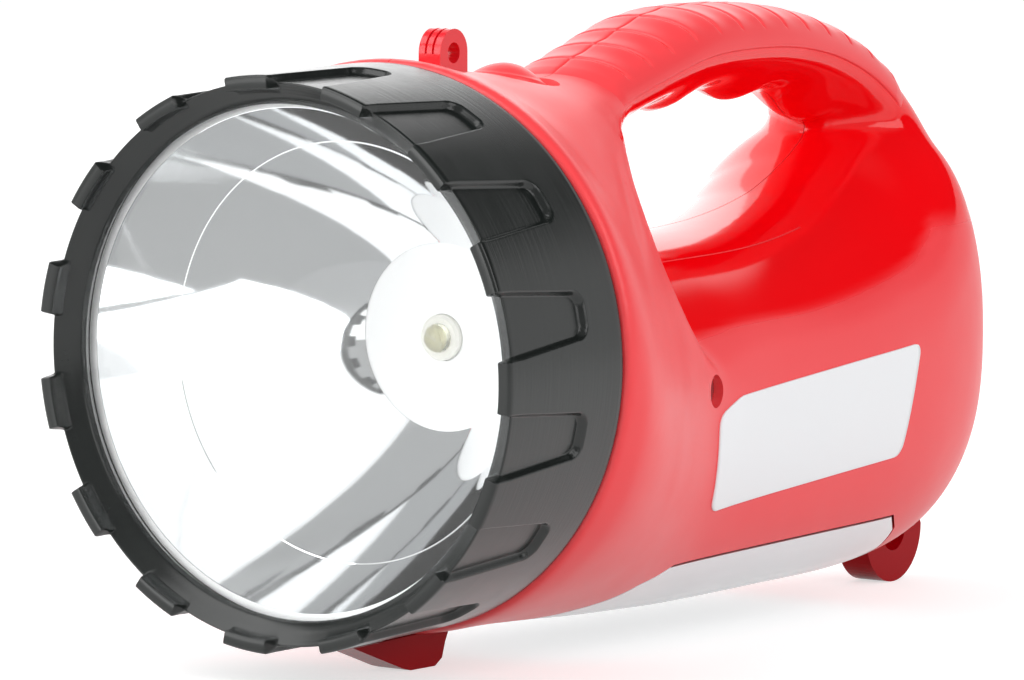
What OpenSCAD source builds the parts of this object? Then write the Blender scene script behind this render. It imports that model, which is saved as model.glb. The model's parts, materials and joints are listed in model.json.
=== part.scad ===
// Rechargeable hand lantern: mirror lamp in front, hand opening under an arched grip,
// battery hull with a light panel along its underside. Millimetres, +Z up, front towards -Y.
// The origin lies on the ground, under the middle of the lantern.

/* [Head] */
// Outer radius of the black bezel ring
bezel_radius = 50; // [48:0.5:53]
// Length of the bezel along the lamp axis
bezel_length = 34.8; // [33:0.2:37]
// Grip lugs round the bezel
lug_count = 15; // [12:1:17]
// Thickness of the clear lens
lens_thickness = 2.5; // [2:0.1:3]
// Radius of the opening at the bottom of the mirror
throat_radius = 17; // [15:0.5:18]

/* [Body] */
// Half width of the battery hull
hull_half_width = 34; // [32:0.5:36]
// Distance from the bezel's front to the back of the hull
body_length = 208; // [206:1:214]
// Thickness of the shell walls
wall = 2.4; // [2:0.1:2.8]
// Half width of the grip
grip_half_width = 13.5; // [12.5:0.5:15]
// How far the front foot stands below the bezel
foot_reach = 7.6; // [6:0.1:9]
// How much deeper the rear strap foot reaches than the front foot
lobe_reach = 4.7; // [3:0.1:6]

/* [Button] */
// Radius of the push button
button_radius = 6.8; // [6:0.2:7.2]
// Travel of the push button
button_travel = 2; // [1.5:0.1:2.2]

/* [Eyes and feet] */
// Radius of the hole in the front strap eye
eye_hole_radius = 1.85; // [1.5:0.05:2.2]
// Thickness of the front strap eye
eye_thickness = 4.6; // [4:0.2:6]
// Radius of the hole in the rear strap foot
foot_hole_radius = 4.2; // [3.5:0.1:4.6]
// Thickness of the rear strap foot
foot_thickness = 6.8; // [6:0.2:8]

/* [Battery] */
// Length of the battery along the lantern
battery_length = 60; // [50:1:62]
// Width of the battery
battery_width = 44; // [40:1:46]
// Height of the battery
battery_height = 34; // [30:0.5:35]

/* [Hidden] */

// Finishes as the photo shows them
red = [0.84, 0.07, 0.10];
black = [0.10, 0.10, 0.11];
white = [0.93, 0.94, 0.95];
clear = [0.85, 0.92, 0.95, 0.35];
chrome = [0.82, 0.83, 0.85];
steel = [0.66, 0.67, 0.69];
board_green = [0.05, 0.35, 0.18];

// Clearances: between pieces that turn or slide, between fixed pieces, and along visible joints
running_gap = 0.3;
seat_gap = 0.1;
joint_gap = 0.35;
round_faces = 96;
cut_margin = 1;
// Facets in a quarter of the outer skin, and of the lining
skin_quarter = 12;
lining_quarter = 8;
far_out = 120;

// Head sizes, measured along the lamp axis from the bezel's front
collar_radius = bezel_radius + 1;
collar_front = bezel_length + running_gap;
neck_radius = bezel_radius - 4.4;
neck_bore = neck_radius - 2.4;
lug_reach = 2.4;
lug_thickness = 2.5;
lip_radius = bezel_radius - 5.3;
lip_front = 5.5;
lip_back = 6.9;
pocket_depth = 1.25;
pocket_end = 24;
pocket_half_angle = 78 / lug_count * 1.25;
lens_front = lip_back + running_gap;
lens_back = lens_front + lens_thickness;
gasket_back = lens_back + 2;
flange_back = gasket_back + 1.5;
flange_front = collar_front + wall + seat_gap / 2;
mirror_rim = bezel_radius - 8;
mirror_step_radius = mirror_rim - 6;
mirror_wall = 1.4;
// Depth of the mirror's parabola: r * r = mirror_spread * (mirror_vertex - y)
mirror_spread = 0.8476 * mirror_rim;
mirror_vertex = gasket_back + mirror_rim * mirror_rim / mirror_spread;
throat_depth = mirror_vertex - throat_radius * throat_radius / mirror_spread;
plate_front = throat_depth + seat_gap;
plate_thickness = 1.5;
sink_front = plate_front + plate_thickness;
sink_flange = 2.5;
sink_end = sink_front + 11.3;
sink_radius = 16;
led_radius = 4.1;
plate_screw_ring = throat_radius + 4.7;
plate_screw_boss = 2.6;
plate_screw_radius = 1.1;

// Grip and hull
foot_drop = bezel_radius + foot_reach;
lobe_drop = foot_drop + lobe_reach;
hull_drop = bezel_radius + 4.3;
grip_height = collar_radius - 5.5;
grip_rib = 0.8;
grip_scallop = 1.6;
lobe_radius = 10.3;
lobe_centre = [body_length - 6.8, lobe_radius - lobe_drop];
eye_centre = [52.4, collar_radius - 0.4];
eye_radius = 4.25;
eye_root = 6.1;
foot_tip = 19;
foot_front = 35;
foot_back = 44;

// How the lantern stands: on the front foot and the deeper rear strap foot, so its nose points down a little
rest_tilt = atan((lobe_drop - foot_drop) / (lobe_centre.x - foot_back));
rest_height = lobe_radius - lobe_centre.x * sin(rest_tilt) - lobe_centre.y * cos(rest_tilt);
rest_front = -bezel_radius * sin(rest_tilt);
rest_back = lobe_centre.x * cos(rest_tilt) - lobe_centre.y * sin(rest_tilt) + lobe_radius;

// Button
button_seat = [0, 72.5, collar_radius - 7];
button_tilt = 15;
button_rise = 1.2;
button_flange = 1.3;
flange_room = button_radius + button_flange + 2 * running_gap;
guide_depth = 7;
guide_height = 2.5;
guide_wall = 1.8;
stem_end = 10;
plunger_radius = 2;
plunger_reach = 5.5;
switch_top = 13;
switch_height = 5.6;
switch_half = 3.5;

// Battery bay
battery_bottom = 15.8 - hull_drop;
visible_screw = [86.5, battery_bottom + battery_height - 6.2];
screw_boss_radius = 4.2;
board_front = body_length - 27;
bay_front = visible_screw.x + screw_boss_radius + running_gap;
battery_front = (bay_front + board_front - battery_length) / 2;
cradle_thickness = 2;
cradle_wall_height = 11;
cradle_front = battery_front - cradle_thickness - seat_gap;
cradle_back = battery_front + battery_length + cradle_thickness + seat_gap;
cradle_bottom = battery_bottom - cradle_thickness;
strip_top = cradle_bottom - 5.5;
strip_front = cradle_front - 19.9;
strip_back = cradle_back - 18.1;
strip_thickness = 1.6;
strip_half_width = 8;
shelf_stations = [cradle_front + 8.1, cradle_back - 16.1];
// How far the inner ribs reach across, to end inside the wall
rib_height = 3;
rib_width = 3;
shelf_reach = 0.79 * hull_half_width;
bracket_reach = 0.795 * hull_half_width;
switch_rib_reach = hull_half_width - 10;

// Charge board at the back
board_back = body_length - 7;
board_half_width = 12.5;
board_bottom = -20;
board_thickness = 1.6;
board_top = board_bottom + board_thickness;
post_station = body_length - 20;
post_half_spread = 9;
socket_half_width = 4.5;
socket_height = 10;
socket_front = body_length - 14;
plug_face = body_length + 0.3;
plug_head = 1.6;
plug_depth = 5;
socket_face = plug_face - plug_head - seat_gap;
socket_nose_radius = 3.9;
socket_bore_radius = 2.75;
socket_bore_depth = 9;
socket_back = socket_face - socket_bore_depth;

// Screws: shaft, head, and the places along and over the lamp axis
screw_radius = 1.5;
screw_head_radius = 2.9;
screw_head_height = 2;
screw_length = 38;
hidden_screw = [cradle_front - 7.4, battery_bottom + 11.5];
back_screw = [cradle_back + 7.9, board_bottom - 8];
counterbore_depth = 2.5;
boss_sink = 2.2;

// Panel under the hull and label on its flank
panel_top = 11.8 - hull_drop;
panel_front = 57;
panel_back = body_length - 42;
panel_half_width = hull_half_width - 4.5;
panel_thickness = 2.2;
label_front = 88;
label_back = body_length - 48;
label_thickness = 0.35;
// First and last of the hull's rows that the panel and the label lie between
panel_rows = [3, 11];
label_rows = [6, 10];
lead_radius = 0.9;
lead_joint_radius = 1.1;

// Puts the lamp frame, with its origin at the middle of the bezel's front, on the ground
module placed() {
    translate([0, -(rest_front + rest_back) / 2, rest_height]) rotate([rest_tilt, 0, 0]) children();
}

// Turns a half section of radius and distance about the lamp axis
module lathe() {
    rotate([-90, 0, 0]) rotate_extrude($fn = round_faces) children();
}

// A side view of distance and height, made solid between two positions across the lantern
module across(from, to) {
    translate([from, 0, 0]) rotate([90, 0, 90]) linear_extrude(to - from) children();
}

// A cylinder along the lamp axis
module along(radius, from, to) {
    translate([0, from, 0]) rotate([-90, 0, 0]) cylinder(r = radius, h = to - from, $fn = round_faces);
}

// A cylinder across the lantern at a station and height
module cross_pin(radius, place, from, to) {
    translate([from, place.x, place.y]) rotate([0, 90, 0]) cylinder(r = radius, h = to - from, $fn = 48);
}

// The frame of the button: its own axis is upright
module on_button() {
    translate(button_seat) rotate([-button_tilt, 0, 0]) children();
}

// A round lead through a list of points, with ball joints at its bends
module lead(path) {
    for (i = [0 : len(path) - 2]) {
        step = path[i + 1] - path[i];
        turn = acos(step.z / norm(step));
        translate(path[i]) rotate([0, turn, atan2(step.y, step.x)])
            cylinder(r = lead_radius, h = norm(step), $fn = 24);
    }
    for (i = [1 : len(path) - 2]) translate(path[i]) sphere(r = lead_joint_radius, $fn = 24);
}

// Smooth values between the rows of a station list, each sorted by its first value
function row_slope(rows, i, k) =
    let (a = max(i - 1, 0), b = min(i + 1, len(rows) - 1))
    (rows[b][k] - rows[a][k]) / (rows[b][0] - rows[a][0]);
function between(rows, i, f, k) =
    let (h = rows[i + 1][0] - rows[i][0])
    (2 * f ^ 3 - 3 * f ^ 2 + 1) * rows[i][k] + (f ^ 3 - 2 * f ^ 2 + f) * h * row_slope(rows, i, k)
    + (3 * f ^ 2 - 2 * f ^ 3) * rows[i + 1][k] + (f ^ 3 - f ^ 2) * h * row_slope(rows, i + 1, k);
function smooth_rows(rows, steps) = [
    for (i = [0 : len(rows) - 2], s = [0 : steps - 1])
        [for (k = [0 : len(rows[0]) - 1]) between(rows, i, s / steps, k)],
    rows[len(rows) - 1]];
function rounded(v, power) = sign(v) * abs(v) ^ (2 / power);

// Hull stations: distance, half width, top, waist, bottom, fullness above and below the waist
function hull_rows(skin) =
    let (c = collar_radius - skin, w = hull_half_width, d = hull_drop, y = body_length - skin)
    [
        [collar_front + skin, c - 0.5, c - 0.5, 0, 0.5 - c, 2, 2],
        [collar_front + 2.3 + skin, c, c, 0, -c, 2, 2],
        [collar_front + 7 + skin / 2, c - 0.2, c - 0.6, -4, -c, 1.97, 2],
        [50, c - 2.4, c - 1.7, -8, -c - 0.2, 1.88, 2.05],
        [62, w + 10 - skin, c - 3.8, -10, 2.5 + skin - d, 1.8, 2.25],
        [74, w + 5.3 - skin, c - 9, -11, 1.7 + skin - d, 1.75, 2.5],
        [86, w + 1.8 - skin, 34 - skin, -11, 1.1 + skin - d, 2, 2.75],
        [100, w + 0.2 - skin, 30 - skin, -10.5, 0.5 + skin - d, 3, 2.95],
        [130, w - skin, 32 - skin, -10, skin - d, 3.2, 3],
        [y - 48, w - skin, 38 - skin, -10, skin - d, 3, 3],
        [y - 30, 0.96 * w - skin, 40 - skin, -10, 2.3 + skin - d, 2.7, 2.9],
        [y - 18, 0.87 * w - skin, 32 - skin, -10.5, 7.3 + skin - d, 2.4, 2.7],
        [y - 9, 0.7 * w - skin, 19 - skin, -11, -40 + skin, 2.2, 2.4],
        [y - 4, 0.52 * w - skin, 9 - skin, -12, -33.5 + skin, 2.1, 2.2],
        [y - 1, 0.3 * w - 0.8 * skin, -1 - skin, -12.5, -25 + skin, 2, 2],
        [y, 0.09 * w, -10, -13, -17, 2, 2]
    ];
// Crown stations, in the same form: the rounded floor of the hand opening, rising into the rear leg
function crown_rows(skin) =
    let (w = hull_half_width + 4 - skin, y = body_length)
    [
        [50, w, 14 - skin, -24.5, -90, 2, 2],
        [100, w, 13.8 - skin, -24.5, -90, 2, 2],
        [130, w, 14.2 - skin, -24, -90, 2, 2],
        [y - 56, w, 17.5 - skin, -22, -90, 2, 2],
        [y - 42, w, 23 - skin, -23, -90, 2, 2],
        [y - 30, w, 30 - skin, -20, -90, 2, 2],
        [y - 18, w, 33 - skin, -16, -90, 2, 2],
        [y + 10, w, 33 - skin, -14, -90, 2, 2]
    ];
function hull_ring(row, quarter) = [
    for (i = [0 : 4 * quarter - 1])
        let (c = cos(90 * i / quarter), s = sin(90 * i / quarter), above = s >= 0,
             power = above ? row[5] : row[6], reach = above ? row[2] - row[3] : row[3] - row[4])
        [row[1] * rounded(c, power), row[0], row[3] + reach * rounded(s, power)]];

// Arch stations: row number, distance, height, half width, reach up or out, reach down or in
function arch_rows() =
    let (g = grip_half_width, h = grip_height, y = body_length)
    [
        [0, 60, h - 23.5, g + 9, 7, 8],
        [1, 70, h - 14.5, g + 5.5, 7, 8],
        [2, 80.5, h - 10.3, g + 2, 6.4, 7.4],
        [3, 92, h - 6.8, g - 0.2, 7, 7],
        [4, 105, h - 3.5, g - 0.3, 7.4, 7.4],
        [5, 120, h - 0.5, g, 8.4, 8],
        [6, 137, h, g, 8.4, 8],
        [7, y - 56, h - 1.1, g, 8.4, 8],
        [8, y - 42, h - 4.2, g, 8.6, 8],
        [9, y - 30, h - 9.7, g + 0.5, 9, 8],
        [10, y - 20.5, h - 18.5, g + 2, 10, 9],
        [11, y - 16, h - 29.5, g + 5, 11.5, 12],
        [12, y - 16, 4, g + 8, 12, 13],
        [13, y - 21, -8, g + 9, 11, 13]
    ];
function on_grip(row) = row[0] > 2.6 && row[0] < 9.8;
function arch_ring(rows, i, quarter, skin, relief) =
    let (row = rows[i], a = rows[max(i - 1, 0)], b = rows[min(i + 1, len(rows) - 1)],
         run = [b[1] - a[1], b[2] - a[2]] / norm([b[1] - a[1], b[2] - a[2]]),
         gripped = relief && on_grip(row),
         rib = gripped ? grip_rib * (0.5 + 0.5 * cos(360 * row[0] * 1.5)) : 0,
         scallop = gripped ? grip_scallop * cos(360 * (row[1] - 119) / 26) : 0)
    [for (k = [0 : 4 * quarter - 1])
        let (c = cos(90 * k / quarter), s = sin(90 * k / quarter),
             up = row[4] - skin + rib * max(s - 0.35, 0) * 1.5,
             down = row[5] - skin + scallop * max(-s - 0.3, 0) * 1.4,
             out = (s >= 0 ? up : down) * rounded(s, 2.3))
        [(row[3] - skin) * rounded(c, 2.3), row[1] - out * run.y, row[2] + out * run.x]];

// A closed solid through rings of equal point count
module loft(rings) {
    n = len(rings[0]);
    last = len(rings) - 1;
    polyhedron(
        points = [for (r = rings) each r],
        faces = [
            [for (k = [n - 1 : -1 : 0]) k],
            [for (k = [0 : n - 1]) last * n + k],
            for (j = [0 : last - 1], k = [0 : n - 1])
                let (a = j * n + k, b = j * n + (k + 1) % n)
                each [[a, b, a + n], [b, b + n, a + n]]
        ]);
}

// The hull between two of its rows
module hull_solid(skin, steps, quarter, first = 0, last = len(hull_rows(0)) - 1) {
    rows = smooth_rows(hull_rows(skin), steps);
    loft([for (i = [first * steps : last * steps]) hull_ring(rows[i], quarter)]);
}

// Half width of the hull at a station and height
function hull_row_at(rows, y) =
    let (i = max([for (k = [0 : len(rows) - 2]) if (rows[k][0] <= y) k]),
         f = (y - rows[i][0]) / (rows[i + 1][0] - rows[i][0]))
    [for (k = [0 : len(rows[0]) - 1]) between(rows, i, f, k)];
function flank_at(p) =
    let (row = hull_row_at(hull_rows(0), p.x), above = p.y >= row[3], power = above ? row[5] : row[6],
         reach = above ? row[2] - row[3] : row[3] - row[4])
    row[1] * (1 - abs((p.y - row[3]) / reach) ^ power) ^ (1 / power);

module arch_solid(skin, steps, quarter, relief) {
    fine = smooth_rows(arch_rows(), steps);
    thin_out = relief ? 3 : 1;
    rows = [for (i = [0 : len(fine) - 1]) if (on_grip(fine[i]) || i % thin_out == 0) fine[i]];
    loft([for (i = [0 : len(rows) - 1]) arch_ring(rows, i, quarter, skin, relief)]);
}

// Everything in front of the hand opening's front wall, which leaves room for the leads behind the heat sink
module front_block(skin) {
    c = collar_radius;
    leads_wall = sink_end + 2 * (lead_joint_radius + seat_gap) + wall;
    back_wall = [[90, c + 30], [88, c - 12], [81.5, c - 14], [79.5, c - 18], [75.5, c - 24], [73, c - 30],
                 [73, c - 36], [74.3, c - 41], [77.5, c - 47.5], [87.5, -8.5], [95, -20], [95, -80]];
    across(-far_out, far_out)
        polygon([[0, c + 30], for (p = back_wall) [max(p.x, leads_wall) - skin, p.y], [0, -80]]);
}

// The battery hull's space, under the floor of the hand opening
module crown(skin, steps, quarter) {
    loft([for (row = smooth_rows(crown_rows(skin), steps)) hull_ring(row, quarter)]);
}

module body_mass(skin, steps, quarter, relief) {
    intersection() {
        hull_solid(skin, steps, quarter);
        union() {
            front_block(skin);
            crown(skin, steps, quarter);
        }
    }
    arch_solid(skin, relief ? 6 : 2, relief ? 6 : 4, relief);
}

// Outline of the panel under the hull, seen from below
module panel_plan(grow) {
    half = [[0, panel_front], [10, panel_front + 1.5], [20, panel_front + 8], [27, panel_front + 17],
            [panel_half_width, panel_front + 27], [panel_half_width, panel_back - 9],
            [26.5, panel_back - 3.5], [20, panel_back - 0.5], [0, panel_back]];
    offset(delta = grow) polygon([
        for (p = half) p,
        for (i = [len(half) - 2 : -1 : 1]) [-half[i].x, half[i].y]]);
}

module panel_cut(grow) {
    translate([0, 0, -far_out]) linear_extrude(far_out + panel_top + grow) panel_plan(grow);
}

// Side outlines of the pieces held between the two halves
module eye_outline(grow) {
    reach = eye_radius + grow;
    translate(eye_centre) {
        circle(r = reach, $fn = 48);
        translate([-reach, -eye_root - grow]) square([2 * reach, eye_root + grow]);
    }
}

module lobe_outline(grow) {
    neck = [[2.5, 15.5], [-3, 17], [-8.5, 11]];
    translate(lobe_centre) polygon([
        for (a = [180 : 6 : 360]) (lobe_radius + grow) * [cos(a), sin(a)],
        for (p = neck) p + grow * [sign(p.x), 1]]);
}

foot_tab_half = 3;

module foot_tab(grow) {
    length = foot_back - foot_front - 4;
    translate([-foot_tab_half - grow, foot_front + 3 - grow, -collar_radius - cut_margin])
        cube([2 * (foot_tab_half + grow), length + 2 * grow, wall + cut_margin + grow]);
}

// A rib from inside a half into its wall: where it starts and ends across, its low corner and its size
module wall_rib(from, to, corner, size) {
    translate([from, corner.x, corner.y]) cube([to - from, size.x, size.y]);
}

// Supports inside the halves: for the cradle, the charge board and the switch
module inner_supports() {
    shelf_low = cradle_bottom - rib_height - seat_gap;
    bracket_low = board_bottom - rib_height - seat_gap;
    for (s = shelf_stations)
        wall_rib(battery_width / 2 - 5, shelf_reach, [s, shelf_low], [rib_width, rib_height]);
    wall_rib(post_half_spread - rib_width, bracket_reach, [post_station - rib_width, bracket_low],
             [2 * rib_width, rib_height]);
    wall_rib(switch_half + seat_gap, switch_rib_reach, [66, button_seat.z - 21.5], [2, 8]);
}

module screw_bosses() {
    for (p = [visible_screw, hidden_screw, back_screw])
        cross_pin(screw_boss_radius, p, 0, flank_at(p) - boss_sink);
}

module button_guide() {
    on_button() translate([0, 0, -guide_depth])
        cylinder(r = button_radius + running_gap + guide_wall, h = guide_height, $fn = 48);
}

// What is cut out of both halves for the pieces that they hold
module held_pieces() {
    along(neck_radius + seat_gap, 0, flange_front + wall);
    across(-eye_thickness / 2 - seat_gap, eye_thickness / 2 + seat_gap) eye_outline(seat_gap);
    across(-foot_thickness / 2 - seat_gap, foot_thickness / 2 + seat_gap) lobe_outline(seat_gap);
    foot_tab(seat_gap);
    at_socket() along(socket_nose_radius + seat_gap, socket_back, body_length + far_out);
    panel_cut(joint_gap);
    on_button() {
        translate([0, 0, -guide_depth - cut_margin])
            cylinder(r = button_radius + running_gap, h = guide_depth + 20, $fn = 64);
        translate([0, 0, -switch_top])
            cylinder(r = flange_room, h = switch_top - guide_depth, $fn = 64);
    }
}

// The axis of the charge socket
module at_socket() {
    translate([0, 0, board_top + socket_height / 2]) children();
}

// One half of the shell, on the +X side
module half_shell() {
    difference() {
        intersection() {
            union() {
                difference() {
                    body_mass(0, 2, skin_quarter, true);
                    body_mass(wall, 1, lining_quarter, false);
                }
                inner_supports();
                screw_bosses();
                button_guide();
            }
            translate([0, -far_out, -far_out]) cube([far_out, 4 * far_out, 2 * far_out]);
        }
        held_pieces();
    }
}

// The hole on the head's side, and the blind hole in the other half
module screw_hole(p) {
    cross_pin(screw_radius + seat_gap, p, -cut_margin, head_seat(p) + cut_margin);
}

module blind_hole(p) {
    cross_pin(screw_radius + seat_gap, p, -cut_margin, screw_length - head_seat(p) + cut_margin);
}

// Where a screw's head seats: the flank's half width there, less the counterbore
function head_seat(p) = flank_at(p) - counterbore_depth - screw_head_height;

module counterbore(p) {
    cross_pin(screw_head_radius + seat_gap, p, head_seat(p), far_out);
}

module body_screw(p) {
    cross_pin(screw_radius, p, head_seat(p) - screw_length, head_seat(p) + screw_head_height / 4);
    difference() {
        cross_pin(screw_head_radius, p, head_seat(p), head_seat(p) + screw_head_height);
        for (turn = [0, 90])
            translate([head_seat(p) + screw_head_height, p.x, p.y]) rotate([turn, 0, 0])
                cube([2, 0.7, 3.2], center = true);
    }
}

module body_right() {
    color(red) placed() difference() {
        half_shell();
        for (p = [visible_screw, hidden_screw]) {
            screw_hole(p);
            counterbore(p);
        }
        blind_hole(back_screw);
    }
}

module body_left() {
    color(red) placed() mirror([1, 0, 0]) difference() {
        half_shell();
        for (p = [visible_screw, hidden_screw]) blind_hole(p);
        screw_hole(back_screw);
        counterbore(back_screw);
    }
}

// Outline of one thumb pocket, unrolled: across the rim and along the axis
module pocket_outline() {
    wide = bezel_radius * tan(pocket_half_angle);
    narrow = wide - 1.7;
    corner = 2.6;
    polygon([
        [-wide, -cut_margin], [wide, -cut_margin], [wide, 2],
        for (a = [0 : 15 : 90]) [narrow - corner * (1 - cos(a)), pocket_end - corner * (1 - sin(a))],
        for (a = [90 : 15 : 180]) [-narrow + corner * (1 + cos(a)), pocket_end - corner * (1 - sin(a))],
        [-wide, 2]]);
}

module bezel_ring() {
    lug_inside = bezel_radius - lug_thickness;
    floor_radius = bezel_radius - pocket_depth;
    bore = neck_radius + running_gap;
    cone_slope = (lip_front - lug_reach) / (floor_radius - lip_radius);
    lug_root = lug_reach + (floor_radius - lug_inside) * cone_slope;
    edge = 0.6;
    color(black) placed() difference() {
        lathe() polygon([
            [lug_inside, 0], [bezel_radius - edge, 0], [bezel_radius, edge],
            [bezel_radius, bezel_length - edge], [bezel_radius - edge, bezel_length], [bore, bezel_length],
            [bore, lip_back], [lip_radius, lip_back], [lip_radius, lip_front], [lug_inside, lug_root]]);
        intersection() {
            for (i = [0 : lug_count - 1])
                rotate([0, (i + 0.5) * 360 / lug_count - 5.5, 0])
                    translate([0, 0, lip_radius - 2]) linear_extrude(12) pocket_outline();
            lathe() polygon([
                [lug_inside - 0.5, -cut_margin], [bezel_radius + 3, -cut_margin],
                [bezel_radius + 3, pocket_end + 1], [floor_radius, pocket_end + 1],
                [floor_radius, lug_reach], [lug_inside - 0.5, lug_root + 0.5 * cone_slope]]);
        }
    }
}

module neck_ring() {
    flange = collar_radius - wall - 0.9;
    color(red) placed() lathe() polygon([
        [neck_bore, flange_back], [neck_radius, flange_back], [neck_radius, flange_front],
        [flange, flange_front], [flange, flange_front + 2.2], [neck_radius, flange_front + 2.2],
        [neck_radius, flange_front + 7], [neck_bore, flange_front + 7]]);
}

module front_lens() {
    color(clear) placed() along(neck_radius - seat_gap, lens_front, lens_back);
}

module lens_gasket() {
    color(white) placed() lathe()
        translate([mirror_rim, lens_back]) square([neck_radius - mirror_rim, gasket_back - lens_back]);
}

// Radius of the mirror's face at a depth, with its step
function mirror_radius(y) =
    let (r = sqrt(mirror_spread * (mirror_vertex - y))) r > mirror_step_radius ? r : r - 0.5;
mirror_depths = [for (i = [0 : 24]) gasket_back + (throat_depth - gasket_back) * i / 24];

module mirror_bowl() {
    lathe() polygon([
        [0, gasket_back - cut_margin], [mirror_rim, gasket_back - cut_margin],
        for (y = mirror_depths) [mirror_radius(y), y],
        [mirror_radius(throat_depth), throat_depth + 5], [0, throat_depth + 5]]);
}

module plate_screw_places() {
    for (i = [0 : 2]) rotate([0, 120 * i + 30, 0]) translate([0, 0, plate_screw_ring]) children();
}

module reflector() {
    rim = neck_radius - seat_gap;
    hole = plate_screw_radius + seat_gap;
    color(chrome) placed() difference() {
        union() {
            lathe() polygon([
                [0, gasket_back], [rim, gasket_back], [rim, flange_back],
                [mirror_rim + mirror_wall - 0.8, flange_back],
                for (y = mirror_depths) if (y > flange_back) [mirror_radius(y) + mirror_wall, y],
                [throat_radius + mirror_wall, throat_depth], [0, throat_depth]]);
            plate_screw_places() along(plate_screw_boss, throat_depth - 6, sink_front);
        }
        mirror_bowl();
        plate_screw_places() along(hole, throat_depth - 1.5, sink_front + cut_margin);
    }
}

module lamp_plate() {
    color(white) placed() difference() {
        along(throat_radius + 1.2, plate_front, sink_front);
        along(led_radius + seat_gap, plate_front - cut_margin, sink_front + cut_margin);
    }
}

module lamp_led_base() {
    color([0.92, 0.88, 0.70]) placed() lathe() polygon([
        [0, sink_front], [led_radius, sink_front], [led_radius, plate_front - 0.9],
        [led_radius - 0.5, plate_front - 1.3], [0, plate_front - 1.3]]);
}

module lamp_led_dome() {
    dome = 2.6;
    color([0.95, 0.95, 0.75, 0.6]) placed() lathe() polygon([
        [0, plate_front - 1.3], [dome, plate_front - 1.3],
        for (a = [0 : 10 : 90]) [dome * cos(a), plate_front - 1.6 - 0.85 * dome * sin(a)]]);
}

module heat_sink() {
    slot = 1.8;
    color(steel) placed() difference() {
        union() {
            along(plate_screw_ring + plate_screw_boss, sink_front, sink_front + sink_flange);
            along(sink_radius, sink_front, sink_end);
        }
        for (i = [-3 : 3])
            translate([i * 4.2 - slot / 2, sink_front + sink_flange + 1, -far_out])
                cube([slot, far_out, 2 * far_out]);
        plate_screw_places()
            along(plate_screw_radius + seat_gap, sink_front - cut_margin, sink_end);
    }
}

module plate_screws() {
    color(steel) placed() plate_screw_places() {
        along(plate_screw_radius, throat_depth - 1, sink_front + sink_flange + 0.5);
        along(2.2, sink_front + sink_flange, sink_front + sink_flange + 1.6);
    }
}

module switch_button() {
    crown_edge = -1;
    color(red) placed() on_button() rotate_extrude($fn = 64) polygon([
        [0, -stem_end], [plunger_radius + 1, -stem_end], [plunger_radius + 1, -guide_depth - running_gap - 1],
        [button_radius + button_flange, -guide_depth - running_gap - 1],
        [button_radius + button_flange, -guide_depth - running_gap],
        [button_radius, -guide_depth - running_gap],
        for (a = [0 : 9 : 90])
            [button_radius * cos(a), crown_edge + (button_rise - crown_edge) * sin(a)]]);
}

module switch_plunger() {
    color(white) placed() on_button() translate([0, 0, -stem_end - plunger_reach])
        cylinder(r = plunger_radius, h = plunger_reach, $fn = 48);
}

module switch_body() {
    color(black) placed() on_button() difference() {
        translate([-switch_half, -switch_half, -switch_top - switch_height])
            cube([2 * switch_half, 2 * switch_half, switch_height]);
        translate([0, 0, -stem_end - plunger_reach - button_travel - running_gap])
            cylinder(r = plunger_radius + running_gap, h = far_out, $fn = 48);
    }
}

module front_strap_eye() {
    groove = 0.5;
    groove_depth = 0.35;
    color(red) placed() difference() {
        across(-eye_thickness / 2, eye_thickness / 2) eye_outline(0);
        cross_pin(eye_hole_radius, eye_centre, -far_out, far_out);
        for (x = [-eye_thickness / 6, eye_thickness / 6]) difference() {
            cross_pin(eye_radius + cut_margin, eye_centre, x - groove / 2, x + groove / 2);
            cross_pin(eye_radius - groove_depth, eye_centre, x - groove, x + groove);
            translate([-far_out, 0, 0]) cube([2 * far_out, far_out, eye_centre.y]);
        }
    }
}

module front_foot() {
    color(red) difference() {
        placed() {
            difference() {
                across(-foot_thickness / 2, foot_thickness / 2) polygon([
                    [foot_tip, -bezel_radius], [foot_tip, -bezel_radius - 0.8], [foot_front, 0.8 - foot_drop],
                    [foot_back - 4, -foot_drop - 0.5], [foot_back, -foot_drop - 0.5],
                    [foot_back + 3, 1.2 - foot_drop], [foot_back + 4, 4 - foot_drop],
                    [foot_back + 6, -bezel_radius]]);
                along(collar_radius + 3 * seat_gap, 0, far_out);
            }
            foot_tab(0);
        }
        translate([-far_out, -2 * far_out, -far_out]) cube([2 * far_out, 4 * far_out, far_out]);
    }
}

module rear_strap_foot() {
    color(red) placed() difference() {
        across(-foot_thickness / 2, foot_thickness / 2) lobe_outline(0);
        cross_pin(foot_hole_radius, lobe_centre, -far_out, far_out);
    }
}

module diffuser_panel() {
    color(white) placed() intersection() {
        difference() {
            hull_solid(0, 2, skin_quarter, panel_rows[0], panel_rows[1]);
            hull_solid(panel_thickness, 1, lining_quarter, panel_rows[0], panel_rows[1]);
        }
        panel_cut(0);
    }
}

module strip_board() {
    color(board_green) placed()
        translate([-strip_half_width, strip_front, strip_top - strip_thickness])
            cube([2 * strip_half_width, strip_back - strip_front, strip_thickness]);
}

module strip_leds() {
    color([0.95, 0.9, 0.6]) placed()
        for (x = [-4, 4], i = [0 : 7])
            translate([x - 1.5, strip_front + 3.5 + i * 8, strip_top - strip_thickness - 1])
                cube([3, 3, 1]);
}

module battery() {
    color([0.22, 0.23, 0.25]) placed() translate([-battery_width / 2, battery_front, battery_bottom])
        cube([battery_width, battery_length, battery_height]);
}

terminal_height = battery_bottom + battery_height - 6;

module battery_terminals() {
    color(steel) placed() for (x = [-8, 8])
        translate([x - 2.4, battery_front + battery_length, terminal_height - 3])
            cube([4.8, 0.8, 6]);
}

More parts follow.
